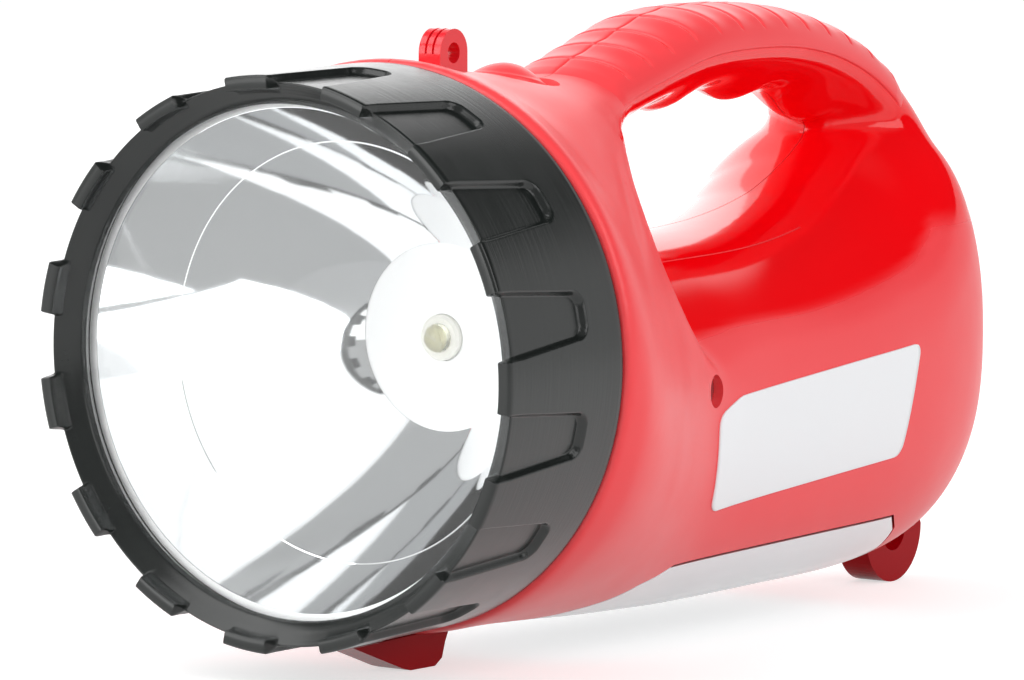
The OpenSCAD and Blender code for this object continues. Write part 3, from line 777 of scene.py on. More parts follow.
@dataclass
class PhotoCamera:
    """The photograph's view, in the lamp's millimetres and degrees."""

    azimuth: float = 34.304
    elevation: float = 6.758
    distance: float = 1197.475
    right_shift: float = 41.685
    up_shift: float = 4.59
    focal_pixels: float = 7000.0
    image_width: float = 1024.0
    sensor: float = 36.0
    farthest: float = 20.0

    def build(self) -> None:
        """Makes the scene's camera."""
        aside = math.radians(self.azimuth)
        above = math.radians(self.elevation)
        level = math.cos(above)
        back = Vector((math.sin(aside) * level, -math.cos(aside) * level, math.sin(above)))
        right = Vector((math.cos(aside), math.sin(aside), 0))
        up = back.cross(right)
        place = back * self.distance + right * self.right_shift + up * self.up_shift
        turn = LAMP.turn @ Matrix((right, up, back)).transposed()
        data = bpy.data.cameras.new("photo_camera")
        data.sensor_width = self.sensor
        data.lens = self.focal_pixels / self.image_width * self.sensor
        data.clip_end = self.farthest
        camera = bpy.data.objects.new("photo_camera", data)
        camera.matrix_world = Matrix.Translation(LAMP.matrix() @ place) @ turn.to_4x4()
        bpy.context.scene.collection.objects.link(camera)
        bpy.context.scene.camera = camera
        LOG.info("camera: lens %.1f mm", data.lens)


@dataclass(frozen=True)
class Softbox:
    """A square soft lamp that faces the lantern, in metres and watts."""

    name: str
    place: Triple
    size: float
    power: float
    aim: Triple = (0.0, 0.0, 0.06)

    def build(self) -> None:
        """Hangs the lamp."""
        data = bpy.data.lights.new(self.name, "AREA")
        data.energy = self.power
        data.size = self.size
        lamp = bpy.data.objects.new(self.name, data)
        lamp.location = self.place
        lamp.rotation_euler = (Vector(self.aim) - Vector(self.place)).to_track_quat("-Z", "Y").to_euler()
        bpy.context.scene.collection.objects.link(lamp)


SOFTBOXES = (
    Softbox("key_softbox", (-0.55, -0.75, 1.25), 1.1, 10.5),
    Softbox("side_softbox", (1.35, -0.15, 0.75), 1.0, 7.0),
    Softbox("back_softbox", (-1.00, 1.35, 0.45), 1.1, 4.0),
    Softbox("front_softbox", (-0.55, -1.4, 0.40), 0.9, 8.0),
)


@dataclass
class Studio:
    """Pale floor, white surroundings and soft lamps."""

    floor_half: float = 3.0
    floor_pale: Triple = (0.60, 0.60, 0.60)
    floor_other: Triple = (0.64, 0.64, 0.64)
    floor_scale: float = 3.0
    floor_roughness: float = 0.9
    floor_glow: float = 0.62
    surround: float = 0.60
    ceiling: float = 0.46
    dark_ceiling: float = 0.04
    sweep: Triple = (-0.6, 0.0, -0.8)
    sweep_edge: tuple[float, float] = (-0.15, 0.2)
    back_sweep: Triple = (-0.35, 0.0, -1.0)
    back_edge: tuple[float, float] = (-0.595, -0.525)
    rearward: Triple = (0.0, 1.0, 0.0)
    rear_edge: tuple[float, float] = (-0.1, 0.3)

    def build(self) -> None:
        """Makes the floor, the world and the lamps."""
        self.floor()
        self.world()
        for lamp in SOFTBOXES:
            lamp.build()

    def floor(self) -> None:
        """Makes a pale floor that renders white in the open and keeps the shadow."""
        half = self.floor_half
        corners = [(-half, -half, 0), (half, -half, 0), (half, half, 0), (-half, half, 0)]
        mesh = bpy.data.meshes.new("floor")
        mesh.from_pydata(corners, [], [(0, 1, 2, 3)])
        floor = add_object("floor", mesh)
        shader = Shader("floor_paper")
        seen = shader.node("ShaderNodeLightPath").outputs
        glow = shader.calculate("MAXIMUM", seen["Is Camera Ray"], seen["Is Glossy Ray"])
        shader.surface(
            Base_Color=shader.drift(self.floor_pale, self.floor_other, self.floor_scale),
            Roughness=self.floor_roughness, Specular_IOR_Level=0.0, Emission_Color=(1.0, 1.0, 1.0),
            Emission_Strength=shader.calculate("MULTIPLY", glow, self.floor_glow))
        mesh.materials.append(shader.material)

    def world(self) -> None:
        """Makes the surroundings: soft light on the object, white where they are seen."""
        world = bpy.data.worlds.new("studio")
        bpy.context.scene.world = world
        world.use_nodes = True
        wires = Wiring(world.node_tree)
        seen = wires.node("ShaderNodeLightPath").outputs
        reflected = wires.calculate("MAXIMUM", seen["Is Glossy Ray"], seen["Is Transmission Ray"])
        shown = wires.mix("FLOAT", reflected, self.surround, self.room(wires))
        strength = wires.mix("FLOAT", seen["Is Camera Ray"], shown, 1.0)
        wires.fill(world.node_tree.nodes["Background"], Color=(1.0, 1.0, 1.0), Strength=strength)

    def room(self, wires: Wiring) -> bpy.types.NodeSocket:
        """The studio as gloss shows it: a white sweep, under a grey ceiling in front and a dark one behind.

        Args:
            wires: the world's nodes.

        Returns:
            The socket of its strength.
        """
        front = self.fade(wires, self.sweep, self.sweep_edge, self.ceiling)
        back = self.fade(wires, self.back_sweep, self.back_edge, self.dark_ceiling)
        behind = self.fade(wires, self.rearward, self.rear_edge, 0.0)
        return wires.mix("FLOAT", behind, front, back)

    @staticmethod
    def fade(wires: Wiring, towards: Triple, span: tuple[float, float], least: float) -> bpy.types.NodeSocket:
        """A value that rises to 1 towards one direction.

        Args:
            wires: the world's nodes.
            towards: the direction.
            span: where the rise starts and ends, as shares of that direction.
            least: the value before the rise.

        Returns:
            The socket of the value.
        """
        place = wires.node("ShaderNodeTexCoord").outputs["Generated"]
        share = wires.node("ShaderNodeVectorMath", operation="DOT_PRODUCT")
        wires.feed(share.inputs[0], place)
        wires.feed(share.inputs[1], towards)
        slope = wires.node("ShaderNodeMapRange", interpolation_type="SMOOTHSTEP")
        wires.fill(slope, Value=share.outputs["Value"], From_Min=span[0], From_Max=span[1], To_Min=least)
        return slope.outputs["Result"]


@dataclass
class SubAssembly:
    """Pieces that belong together and take their materials from the workshop."""

    workshop: Workshop

    def settle(self, thing: bpy.types.Object, body: Body, slot: Slot, *nodes: str) -> None:
        """Gives a finished piece the material of its slot, and its body.

        Args:
            thing: the piece.
            body: the body it moves with.
            slot: the record's slot that its finish belongs to.
            nodes: the CAD nodes that it stands for.
        """
        thing.data.materials.clear()
        thing.data.materials.append(self.workshop.materials[slot.value])
        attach(thing, body.value)
        if nodes:
            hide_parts(*nodes)
        LOG.info("%s: %d faces", thing.name, len(thing.data.polygons))


@dataclass
class BodyShell(SubAssembly):
    """The two red halves: collar, battery hull, arched grip and rear leg."""

    step: float = 0.85
    grid_half: float = 53.0
    grid_height: float = 58.0
    grid_margin: float = 3.0
    collar: float = 51.0
    collar_front: float = 35.1
    half_width: float = 34.0
    length: float = 208.0
    drop: float = 54.3
    end_round: float = 0.8
    crown_start: float = 50.0
    crown_end: float = 10.0
    crown_over: float = 4.0
    crown_deep: float = 90.0
    crown_blend: float = 5.0
    grip_half: float = 13.5
    grip_height: float = 45.5
    neck_room: float = 45.9
    neck_end: float = 46.0
    lamp_room: float = 31.0
    lamp_end: float = 72.0
    scallop: float = 1.6
    scallop_pitch: float = 26.0
    scallop_start: float = 119.0
    scallop_first: float = 88.0
    scallop_last: float = 176.0
    scallop_bend: float = 1.15
    scallop_gain: float = 1.4
    scallop_edge: float = 0.3
    spine_points: int = 521
    arch_fullness: float = 2.3
    arch_under: float = 1.4
    arch_end: float = 1.0
    inside_arch: float = -9.0
    crease: float = 1.2
    crease_growth: float = 1.6
    crease_start: float = 92.0
    crease_span: float = 20.0
    fillet: float = 4.0
    root_fillet: float = 12.0
    root_end: float = 104.0
    root_span: float = 22.0
    wall_reach: int = 80
    wall_step: float = 0.5
    wall_ease: int = 4
    satin_band: float = 3.6
    polish_edge: float = 1.2
    wall_polish: float = -1.0
    grip_polish: float = 0.6
    leg_polish: float = 6.5
    leg_start: float = 150.0
    leg_span: float = 25.0
    shoulder: float = 10.0
    shoulder_span: float = 4.0
    seam: float = 0.09
    weld: float = 1e-5
    smooth_share: float = 0.5
    smooth_rounds: int = 6
    sharp: float = 50.0
    panel_front: float = 57.0
    panel_back: float = 42.0
    panel_inset: float = 4.5
    panel_top: float = -42.5
    panel_gap: float = 0.45
    panel_under: float = -90.0
    panel_sharp: float = 40.0
    button_seat: Triple = (0.0, 72.5, 44.0)
    button_tilt: float = 15.0
    button_room: float = 7.7
    button_well: float = 8.0
    dish_radius: float = 9.4
    dish_depth: float = 0.75
    dish_clear: float = 12.0
    counterbore: float = 3.0
    screw_clear: float = 60.0
    screw_right: Triple = (31.25, 86.5, -10.7)
    screw_left: Triple = (27.35, 176.0, -28.0)
    socket_room: float = 4.0
    socket_height: float = -13.4
    socket_floor: float = 198.0
    socket_clear: float = 220.0
    cutter_faces: int = 64
    line_side: float = 16.0
    line_start: float = 98.0
    line_end: float = 146.0
    line_width: float = 0.30
    line_depth: float = 1.5
    line_clear: float = 4.0
    line_rows: int = 24

    def hull_rows(self) -> np.ndarray:
        """Stations along the hull.

        Returns:
            Rows of distance, half width, top, waist, bottom, and fullness above and below the waist.
        """
        front, collar = self.collar_front, self.collar
        half, end, drop = self.half_width, self.length, self.drop
        return np.array([
            [front, collar - 0.5, collar - 0.8, 0, 0.5 - collar, 2, 2],
            [front + 2.3, collar, collar - 0.5, 0, -collar, 2, 2],
            [front + 7, collar - 0.2, collar - 1.4, -4, -collar, 1.97, 2],
            [50, collar - 2.4, collar - 2.9, -8, -collar - 0.2, 1.88, 2.05],
            [62, half + 10, collar - 5.1, -10, 2.5 - drop, 1.8, 2.25],
            [74, half + 5.3, collar - 9.2, -11, 1.7 - drop, 1.75, 2.5],
            [86, half + 1.8, 34, -11, 1.1 - drop, 2, 2.75],
            [100, half + 0.2, 30, -10.5, 0.5 - drop, 3, 2.95],
            [130, half, 32, -10, -drop, 3.2, 3],
            [end - 48, half, 38, -10, -drop, 3, 3],
            [end - 30, 0.96 * half, 40, -10, 2.3 - drop, 2.7, 2.9],
            [end - 18, 0.87 * half, 32, -10.5, 7.3 - drop, 2.4, 2.7],
            [end - 9, 0.7 * half, 19, -11, -40, 2.2, 2.4],
            [end - 4, 0.52 * half, 9, -12, -33.5, 2.1, 2.2],
            [end - 1, 0.3 * half, -1, -12.5, -25, 2, 2],
            [end, 0.09 * half, -10, -13, -17, 2, 2]])

    def crown_rows(self) -> np.ndarray:
        """Stations along the opening's floor.

        Returns:
            Rows of distance, top and waist.
        """
        end = self.length
        return np.array([
            [self.crown_start, 14, -24.5], [100, 13.8, -24.5], [130, 14.2, -24], [end - 56, 17.5, -22],
            [end - 42, 23, -23], [end - 30, 30, -20], [end - 18, 33, -16], [end + self.crown_end, 33, -14]])

    def arch_rows(self) -> np.ndarray:
        """Stations along the arch.

        Returns:
            Rows of number, distance, height, half width, reach up or out, and reach down or in.
        """
        half, top, end = self.grip_half, self.grip_height, self.length
        stations = [
            [60, top - 23.5, half + 9, 7, 8], [70, top - 14.5, half + 5.5, 7, 8],
            [80.5, top - 10.3, half + 2, 6.4, 7.4], [92, top - 6.8, half - 0.2, 7, 7],
            [105, top - 3.5, half - 0.3, 7.4, 7.4], [120, top - 0.5, half, 8.4, 8],
            [137, top, half, 8.4, 8], [end - 56, top - 1.1, half, 8.4, 8],
            [end - 42, top - 4.2, half, 8.6, 8], [end - 30, top - 9.7, half + 0.5, 9, 8],
            [end - 20.5, top - 18.5, half + 2, 10, 9], [end - 16, top - 29.5, half + 5, 11.5, 12],
            [end - 16, 4, half + 8, 12, 13], [end - 21, -8, half + 9, 11, 13]]
        return np.column_stack([np.arange(len(stations)), stations])

    def front_wall(self) -> np.ndarray:
        """Side outline of the opening's front wall, from below.

        Returns:
            Rows of distance and height.
        """
        top = self.collar
        return np.array([
            [95, -self.wall_reach], [95, -20], [87.5, -8.5], [76.5, top - 47.5], [73, top - 41],
            [71.8, top - 36], [71.8, top - 30], [73, top - 24], [76.5, top - 18], [81, top - 14],
            [88, top - 12], [90, top + 30]])

    def spine(self) -> np.ndarray:
        """The arch's middle line.

        Returns:
            Rows of distance, height, half width, reach up, reach down and the two parts of its direction.
        """
        stations = self.arch_rows()
        rows = hermite(stations, np.linspace(0, stations[-1, 0], self.spine_points))
        run = np.gradient(rows[:, 1:3], axis=0)
        run /= np.linalg.norm(run, axis=1)[:, None]
        return np.hstack([rows[:, 1:], run])

    def scallops(self, station: np.ndarray) -> np.ndarray:
        """Finger waves under the grip at a distance along the lantern."""
        wave = self.scallop * np.cos(2 * np.pi * (station - self.scallop_start) / self.scallop_pitch)
        return wave * (station > self.scallop_first) * (station < self.scallop_last)

    def hull_section(self, y: np.ndarray, z: np.ndarray) -> tuple[np.ndarray, ...]:
        """Looks up the hull's cross-section.

        Args:
            y: distances along.
            z: heights.

        Returns:
            The half width, the waist, the reach on that side of the waist and the fullness there.
        """
        row = hermite(self.hull_rows(), np.clip(y.ravel(), self.collar_front, self.length))
        half, top, waist, bottom, upper, lower = (row[:, k].reshape(y.shape) for k in range(1, 7))
        above = z >= waist
        return half, waist, np.where(above, top - waist, waist - bottom), np.where(above, upper, lower)

    def hull_field(self, x: np.ndarray, y: np.ndarray, z: np.ndarray) -> np.ndarray:
        """Distance from the hull's skin.

        Args:
            x: distances across.
            y: distances along.
            z: heights.

        Returns:
            The distance, negative inside.
        """
        half, waist, reach, power = self.hull_section(y, z)
        side = oval_field(x, z - waist, half, reach, power)
        with_front = soft_max(side, self.collar_front - y, self.end_round)
        return soft_max(with_front, y - self.length, self.end_round)

    def crown_field(self, x: np.ndarray, y: np.ndarray, z: np.ndarray) -> np.ndarray:
        """Distance from the floor of the hand opening.

        Args:
            x: distances across.
            y: distances along.
            z: heights.

        Returns:
            The distance, negative below the floor.
        """
        last = self.length + self.crown_end
        row = hermite(self.crown_rows(), np.clip(y.ravel(), self.crown_start, last))
        top, waist = (row[:, k].reshape(y.shape) for k in (1, 2))
        reach = np.where(z >= waist, top - waist, waist + self.crown_deep)
        half = np.full_like(waist, self.half_width + self.crown_over)
        return oval_field(x, z - waist, half, reach, power=2.0)

    def wall_field(self, y: np.ndarray, z: np.ndarray) -> np.ndarray:
        """Distance behind the opening's front wall.

        Args:
            y: distances along.
            z: heights.

        Returns:
            The distance, negative in front of the wall.
        """
        wall = self.front_wall()
        fine = np.arange(-self.wall_reach, self.wall_reach + 1, self.wall_step)
        line = np.interp(fine, wall[:, 1], wall[:, 0])
        window = 2 * self.wall_ease + 1
        padded = np.pad(line, self.wall_ease, mode="edge")
        line = np.convolve(padded, np.full(window, 1 / window), mode="valid")
        slope = np.gradient(line, fine)
        behind = y - np.interp(z.ravel(), fine, line).reshape(z.shape)
        return behind / np.sqrt(1 + np.interp(z.ravel(), fine, slope).reshape(z.shape) ** 2)

    def arch_field(self, x: np.ndarray, y: np.ndarray, z: np.ndarray) -> tuple[np.ndarray, np.ndarray]:
        """Works out the arched grip on the grid.

        Args:
            x: distances across.
            y: distances along.
            z: heights.

        Returns:
            The distance from its skin, and the height over its middle line.
        """
        spine = self.spine()
        flat_y, flat_z = np.broadcast_arrays(y[0], z[0])
        gap = (flat_y[..., None] - spine[:, 0]) ** 2 + (flat_z[..., None] - spine[:, 1]) ** 2
        nearest = gap.argmin(axis=-1)
        near = spine[nearest]
        dy = flat_y - near[..., 0]
        dz = flat_z - near[..., 1]
        out = dz * near[..., 5] - dy * near[..., 6]
        past = dy * near[..., 5] + dz * near[..., 6]
        down = np.clip(-out / near[..., 4], 0, 1) ** self.scallop_bend
        wave = self.scallops(near[..., 0]) * self.scallop_gain * np.maximum(down - self.scallop_edge, 0)
        reach = np.where(out >= 0, near[..., 3], near[..., 4] + wave)
        power = np.where(out >= 0, self.arch_fullness, self.arch_under)
        side = oval_field(x, out[None], near[None, ..., 2], reach[None], power[None])
        end = np.where(nearest == len(spine) - 1, past, self.inside_arch)
        end = np.where(nearest == 0, -past, end)
        return soft_max(side, end[None], self.arch_end), out[None]

    def mass(self) -> tuple[np.ndarray, np.ndarray, np.ndarray]:
        """Works out the whole body on a grid.

        Returns:
            The field, the polish mask on the same grid, and the grid's first corner.
        """
        across = (np.arange(int(self.grid_half / self.step)) + 0.5) * self.step
        along = np.arange(self.collar_front - self.grid_margin, self.length + self.grid_margin, self.step)
        x = across[:, None, None]
        y = along[None, :, None]
        z = np.arange(-self.grid_height, self.grid_height, self.step)[None, None, :]
        hull = self.hull_field(x, y, z)
        wall = self.wall_field(y, z)
        room = soft_min(wall, self.crown_field(x, y, z), self.crown_blend)
        crease = self.crease + self.crease_growth * rise(y, self.crease_start, self.crease_span)
        block = soft_max(hull, room, crease)
        arch, out = self.arch_field(x, y, z)
        fillet = self.fillet + self.root_fillet * rise(-y, -self.root_end, self.root_span)
        body = soft_min(block, arch, fillet)
        radius = np.hypot(x, z)
        for bore, end in ((self.neck_room, self.neck_end), (self.lamp_room, self.lamp_end)):
            body = np.maximum(body, -np.maximum(radius - bore, y - end))
        inside = rise(-hull, self.satin_band, self.polish_edge) * (wall > self.wall_polish)
        rear = rise(y, self.leg_start, self.leg_span)
        under = np.clip((self.leg_polish * rear - out + self.grip_polish) / self.polish_edge, 0, 1)
        over_shoulder = under * rear ** 2 * rise(z, self.shoulder, self.shoulder_span)
        polish = np.maximum(np.where(arch < block, under, inside), over_shoulder)
        both = [np.concatenate([part[::-1], part]) for part in (body, np.broadcast_to(polish, body.shape))]
        return both[0], both[1], np.array([-across[-1], y.flat[0], z.flat[0]])

    def turned(self, centre: Vector, axis: Vector, profile: list[tuple[float, float]]) -> Solid:
        """Points and faces of a closed turned solid, for cutting.

        Args:
            centre: a point on its axis.
            axis: its direction.
            profile: radius and distance along the axis, from its start to its end.

        Returns:
            Its points and its faces.
        """
        side = axis.orthogonal().normalized()
        other = axis.cross(side)
        points = []
        for radius, reach in profile:
            for k in range(self.cutter_faces):
                angle = 2 * math.pi * k / self.cutter_faces
                spoke = side * math.cos(angle) + other * math.sin(angle)
                points.append(centre + axis * reach + spoke * radius)
        return capped([p[:] for p in points], len(profile))

    def panel_outline(self, grow: float) -> np.ndarray:
        """Outline of the underside panel seen from below.

        Args:
            grow: the gap to grow it by.

        Returns:
            Rows of distance across and along.
        """
        front = self.panel_front
        back = self.length - self.panel_back
        half = self.half_width - self.panel_inset
        side = np.array([
            [0, front], [10, front + 1.5], [20, front + 8], [27, front + 17], [half, front + 27],
            [half, back - 9], [26.5, back - 3.5], [20, back - 0.5], [0, back]])
        whole = np.vstack([side, side[-2:0:-1] * [-1, 1]])
        ahead = np.roll(whole, -1, axis=0) - whole
        normal = np.stack([ahead[:, 1], -ahead[:, 0]], axis=1)
        normal /= np.linalg.norm(normal, axis=1)[:, None]
        corner = normal + np.roll(normal, 1, axis=0)
        corner /= np.linalg.norm(corner, axis=1)[:, None]
        stretch = 1 / (corner * normal).sum(axis=1)
        return whole + corner * stretch[:, None] * grow

    def panel_block(self, grow: float) -> Solid:
        """The block that the panel fills, down past the shell's underside.

        Args:
            grow: the gap to grow it by.

        Returns:
            Its points and its faces.
        """
        outline = self.panel_outline(grow)
        levels = (self.panel_under, self.panel_top + grow)
        return capped([(p[0], p[1], z) for z in levels for p in outline], len(levels))

    def floor_line(self) -> Solid:
        """The thin moulding line along the opening's floor, for cutting.

        Returns:
            Its points and its faces.
        """
        station = np.linspace(self.line_start, self.line_end, self.line_rows)
        row = hermite(self.crown_rows(), station)
        share = self.line_side / (self.half_width + self.crown_over)
        height = row[:, 2] + (row[:, 1] - row[:, 2]) * math.sqrt(1 - share ** 2)
        low = np.stack([station, height - self.line_depth], axis=1)
        high = np.stack([station[::-1], height[::-1] + self.line_clear], axis=1)
        outline = np.vstack([low, high])
        sides = (self.line_side - self.line_width / 2, self.line_side + self.line_width / 2)
        return capped([(x, p[0], p[1]) for x in sides for p in outline], len(sides))

    def cutters(self) -> list[Solid]:
        """The holes of the shell: button, screws, charge socket, panel and moulding line.

        Returns:
            The points and faces of each.
        """
        tilt = math.radians(self.button_tilt)
        upright = Vector((0, math.sin(tilt), math.cos(tilt)))
        dish = [
            (self.button_room, -self.button_well), (self.button_room, -self.dish_depth),
            (self.dish_radius, -self.dish_depth), (self.dish_radius, self.dish_clear)]
        solids = [self.turned(Vector(self.button_seat), upright, dish)]
        for side, (seat, station, height) in ((1, self.screw_right), (-1, self.screw_left)):
            hole = [(self.counterbore, seat), (self.counterbore, self.screw_clear)]
            solids.append(self.turned(Vector((0, station, height)), Vector((1, 0, 0)) * side, hole))
        plug = [(self.socket_room, self.socket_floor), (self.socket_room, self.socket_clear)]
        solids.append(self.turned(Vector((0, 0, self.socket_height)), Vector((0, 1, 0)), plug))
        return solids + [self.panel_block(self.panel_gap), self.floor_line()]

    def build(self) -> None:
        """Makes the two halves and the white panel."""
        field, polish, low = self.mass()
        points, quads = surface_net(field, low, self.step)
        whole = add_object("shell_whole", make_mesh("shell_whole", points, quads, placed=False))
        self.mark_polish(whole.data, points, polish, low)
        smooth = whole.modifiers.new("smooth", "SMOOTH")
        smooth.factor = self.smooth_share
        smooth.iterations = self.smooth_rounds
        whole.data = self.applied(whole, "shell_smooth")
        cutter = self.joined("shell_cutters", self.cutters())
        block = self.joined("panel_block", [self.panel_block(0.0)])
        panel = self.cut(whole, block, "INTERSECT", "light_panel")
        body = self.cut(whole, cutter, "DIFFERENCE", "shell_cut")
        for name, side, node in (("shell_right", 1, "body_right"), ("shell_left", -1, "body_left")):
            self.settle(self.half(body, name, side), Body.HOUSING, Slot.SHELL, node)
        for thing in (whole, cutter, block, body):
            bpy.data.objects.remove(thing)
        panel.data.transform(LAMP.matrix())
        panel.data.set_sharp_from_angle(angle=math.radians(self.panel_sharp))
        self.settle(panel, Body.HOUSING, Slot.PANEL, "diffuser_panel")

    def mark_polish(self, mesh: bpy.types.Mesh, points: np.ndarray, polish: np.ndarray,
                    low: np.ndarray) -> None:
        """Stores the polish mask on a mesh's face corners, which later cuts carry along.

        Args:
            mesh: the mesh.
            points: its points.
            polish: the mask on the grid.
            low: the grid's first corner.
        """
        place = (points - low) / self.step
        first = np.clip(np.floor(place).astype(int), 0, np.array(polish.shape) - 2)
        share = place - first
        value = np.zeros(len(points))
        for corner in np.ndindex(2, 2, 2):
            weight = np.where(np.array(corner) == 1, share, 1 - share).prod(axis=1)
            value += weight * polish[tuple((first + corner).T)]
        corner_point = np.empty(len(mesh.loops), np.int32)
        mesh.loops.foreach_get("vertex_index", corner_point)
        layer = mesh.attributes.new("polish", "FLOAT", "CORNER")
        layer.data.foreach_set("value", value[corner_point].astype(np.float32))

    @staticmethod
    def applied(thing: bpy.types.Object, name: str) -> bpy.types.Mesh:
        """Applies a piece's modifiers and takes them off it.

        Args:
            thing: the piece.
            name: the new mesh's name.

        Returns:
            The new mesh.
        """
        graph = bpy.context.evaluated_depsgraph_get()
        mesh = bpy.data.meshes.new_from_object(thing.evaluated_get(graph))
        mesh.name = name
        thing.modifiers.clear()
        return mesh

    @staticmethod
    def joined(name: str, solids: list[Solid]) -> bpy.types.Object:
        """One object of several closed solids, for cutting.

        Args:
            name: the object's name.
            solids: the points and faces of each.

        Returns:
            The object.
        """
        points, faces, count = [], [], 0
        for part, sides in solids:
            points.append(part)
            faces.extend([[i + count for i in side] for side in sides])
            count += len(part)
        return add_object(name, make_mesh(name, np.vstack(points), faces, placed=False))

    def cut(self, whole: bpy.types.Object, tool: bpy.types.Object, operation: str,
            name: str) -> bpy.types.Object:
        """A new piece: the whole body cut by a tool, or what they share.

        Args:
            whole: the body.
            tool: the cutting solids.
            operation: DIFFERENCE or INTERSECT.
            name: the new piece's name.

        Returns:
            The new piece.
        """
        piece = add_object(name, whole.data.copy())
        modifier = piece.modifiers.new("cut", "BOOLEAN")
        modifier.operation = operation
        modifier.solver = "EXACT"
        modifier.object = tool
        piece.data = self.applied(piece, name)
        return piece

    def half(self, body: bpy.types.Object, name: str, side: int) -> bpy.types.Object:
        """One half of the shell, closed along the seam.

        Args:
            body: the whole body.
            name: the half's name.
            side: 1 for the +X half, -1 for the other.

        Returns:
            The half.
        """
        mesh = bmesh.new()
        mesh.from_mesh(body.data)
        plane = {"plane_co": (side * self.seam, 0, 0), "plane_no": (side, 0, 0)}
        everything = mesh.verts[:] + mesh.edges[:] + mesh.faces[:]
        result = bmesh.ops.bisect_plane(mesh, geom=everything, dist=self.weld, clear_inner=True, **plane)
        rim = [e for e in result["geom_cut"] if isinstance(e, bmesh.types.BMEdge)]
        bmesh.ops.triangle_fill(mesh, edges=rim, use_beauty=True, normal=(-side, 0, 0))
        mesh.transform(LAMP.matrix())
        data = bpy.data.meshes.new(name)
        mesh.to_mesh(data)
        mesh.free()
        data.shade_smooth()
        data.set_sharp_from_angle(angle=math.radians(self.sharp))
        return add_object(name, data)


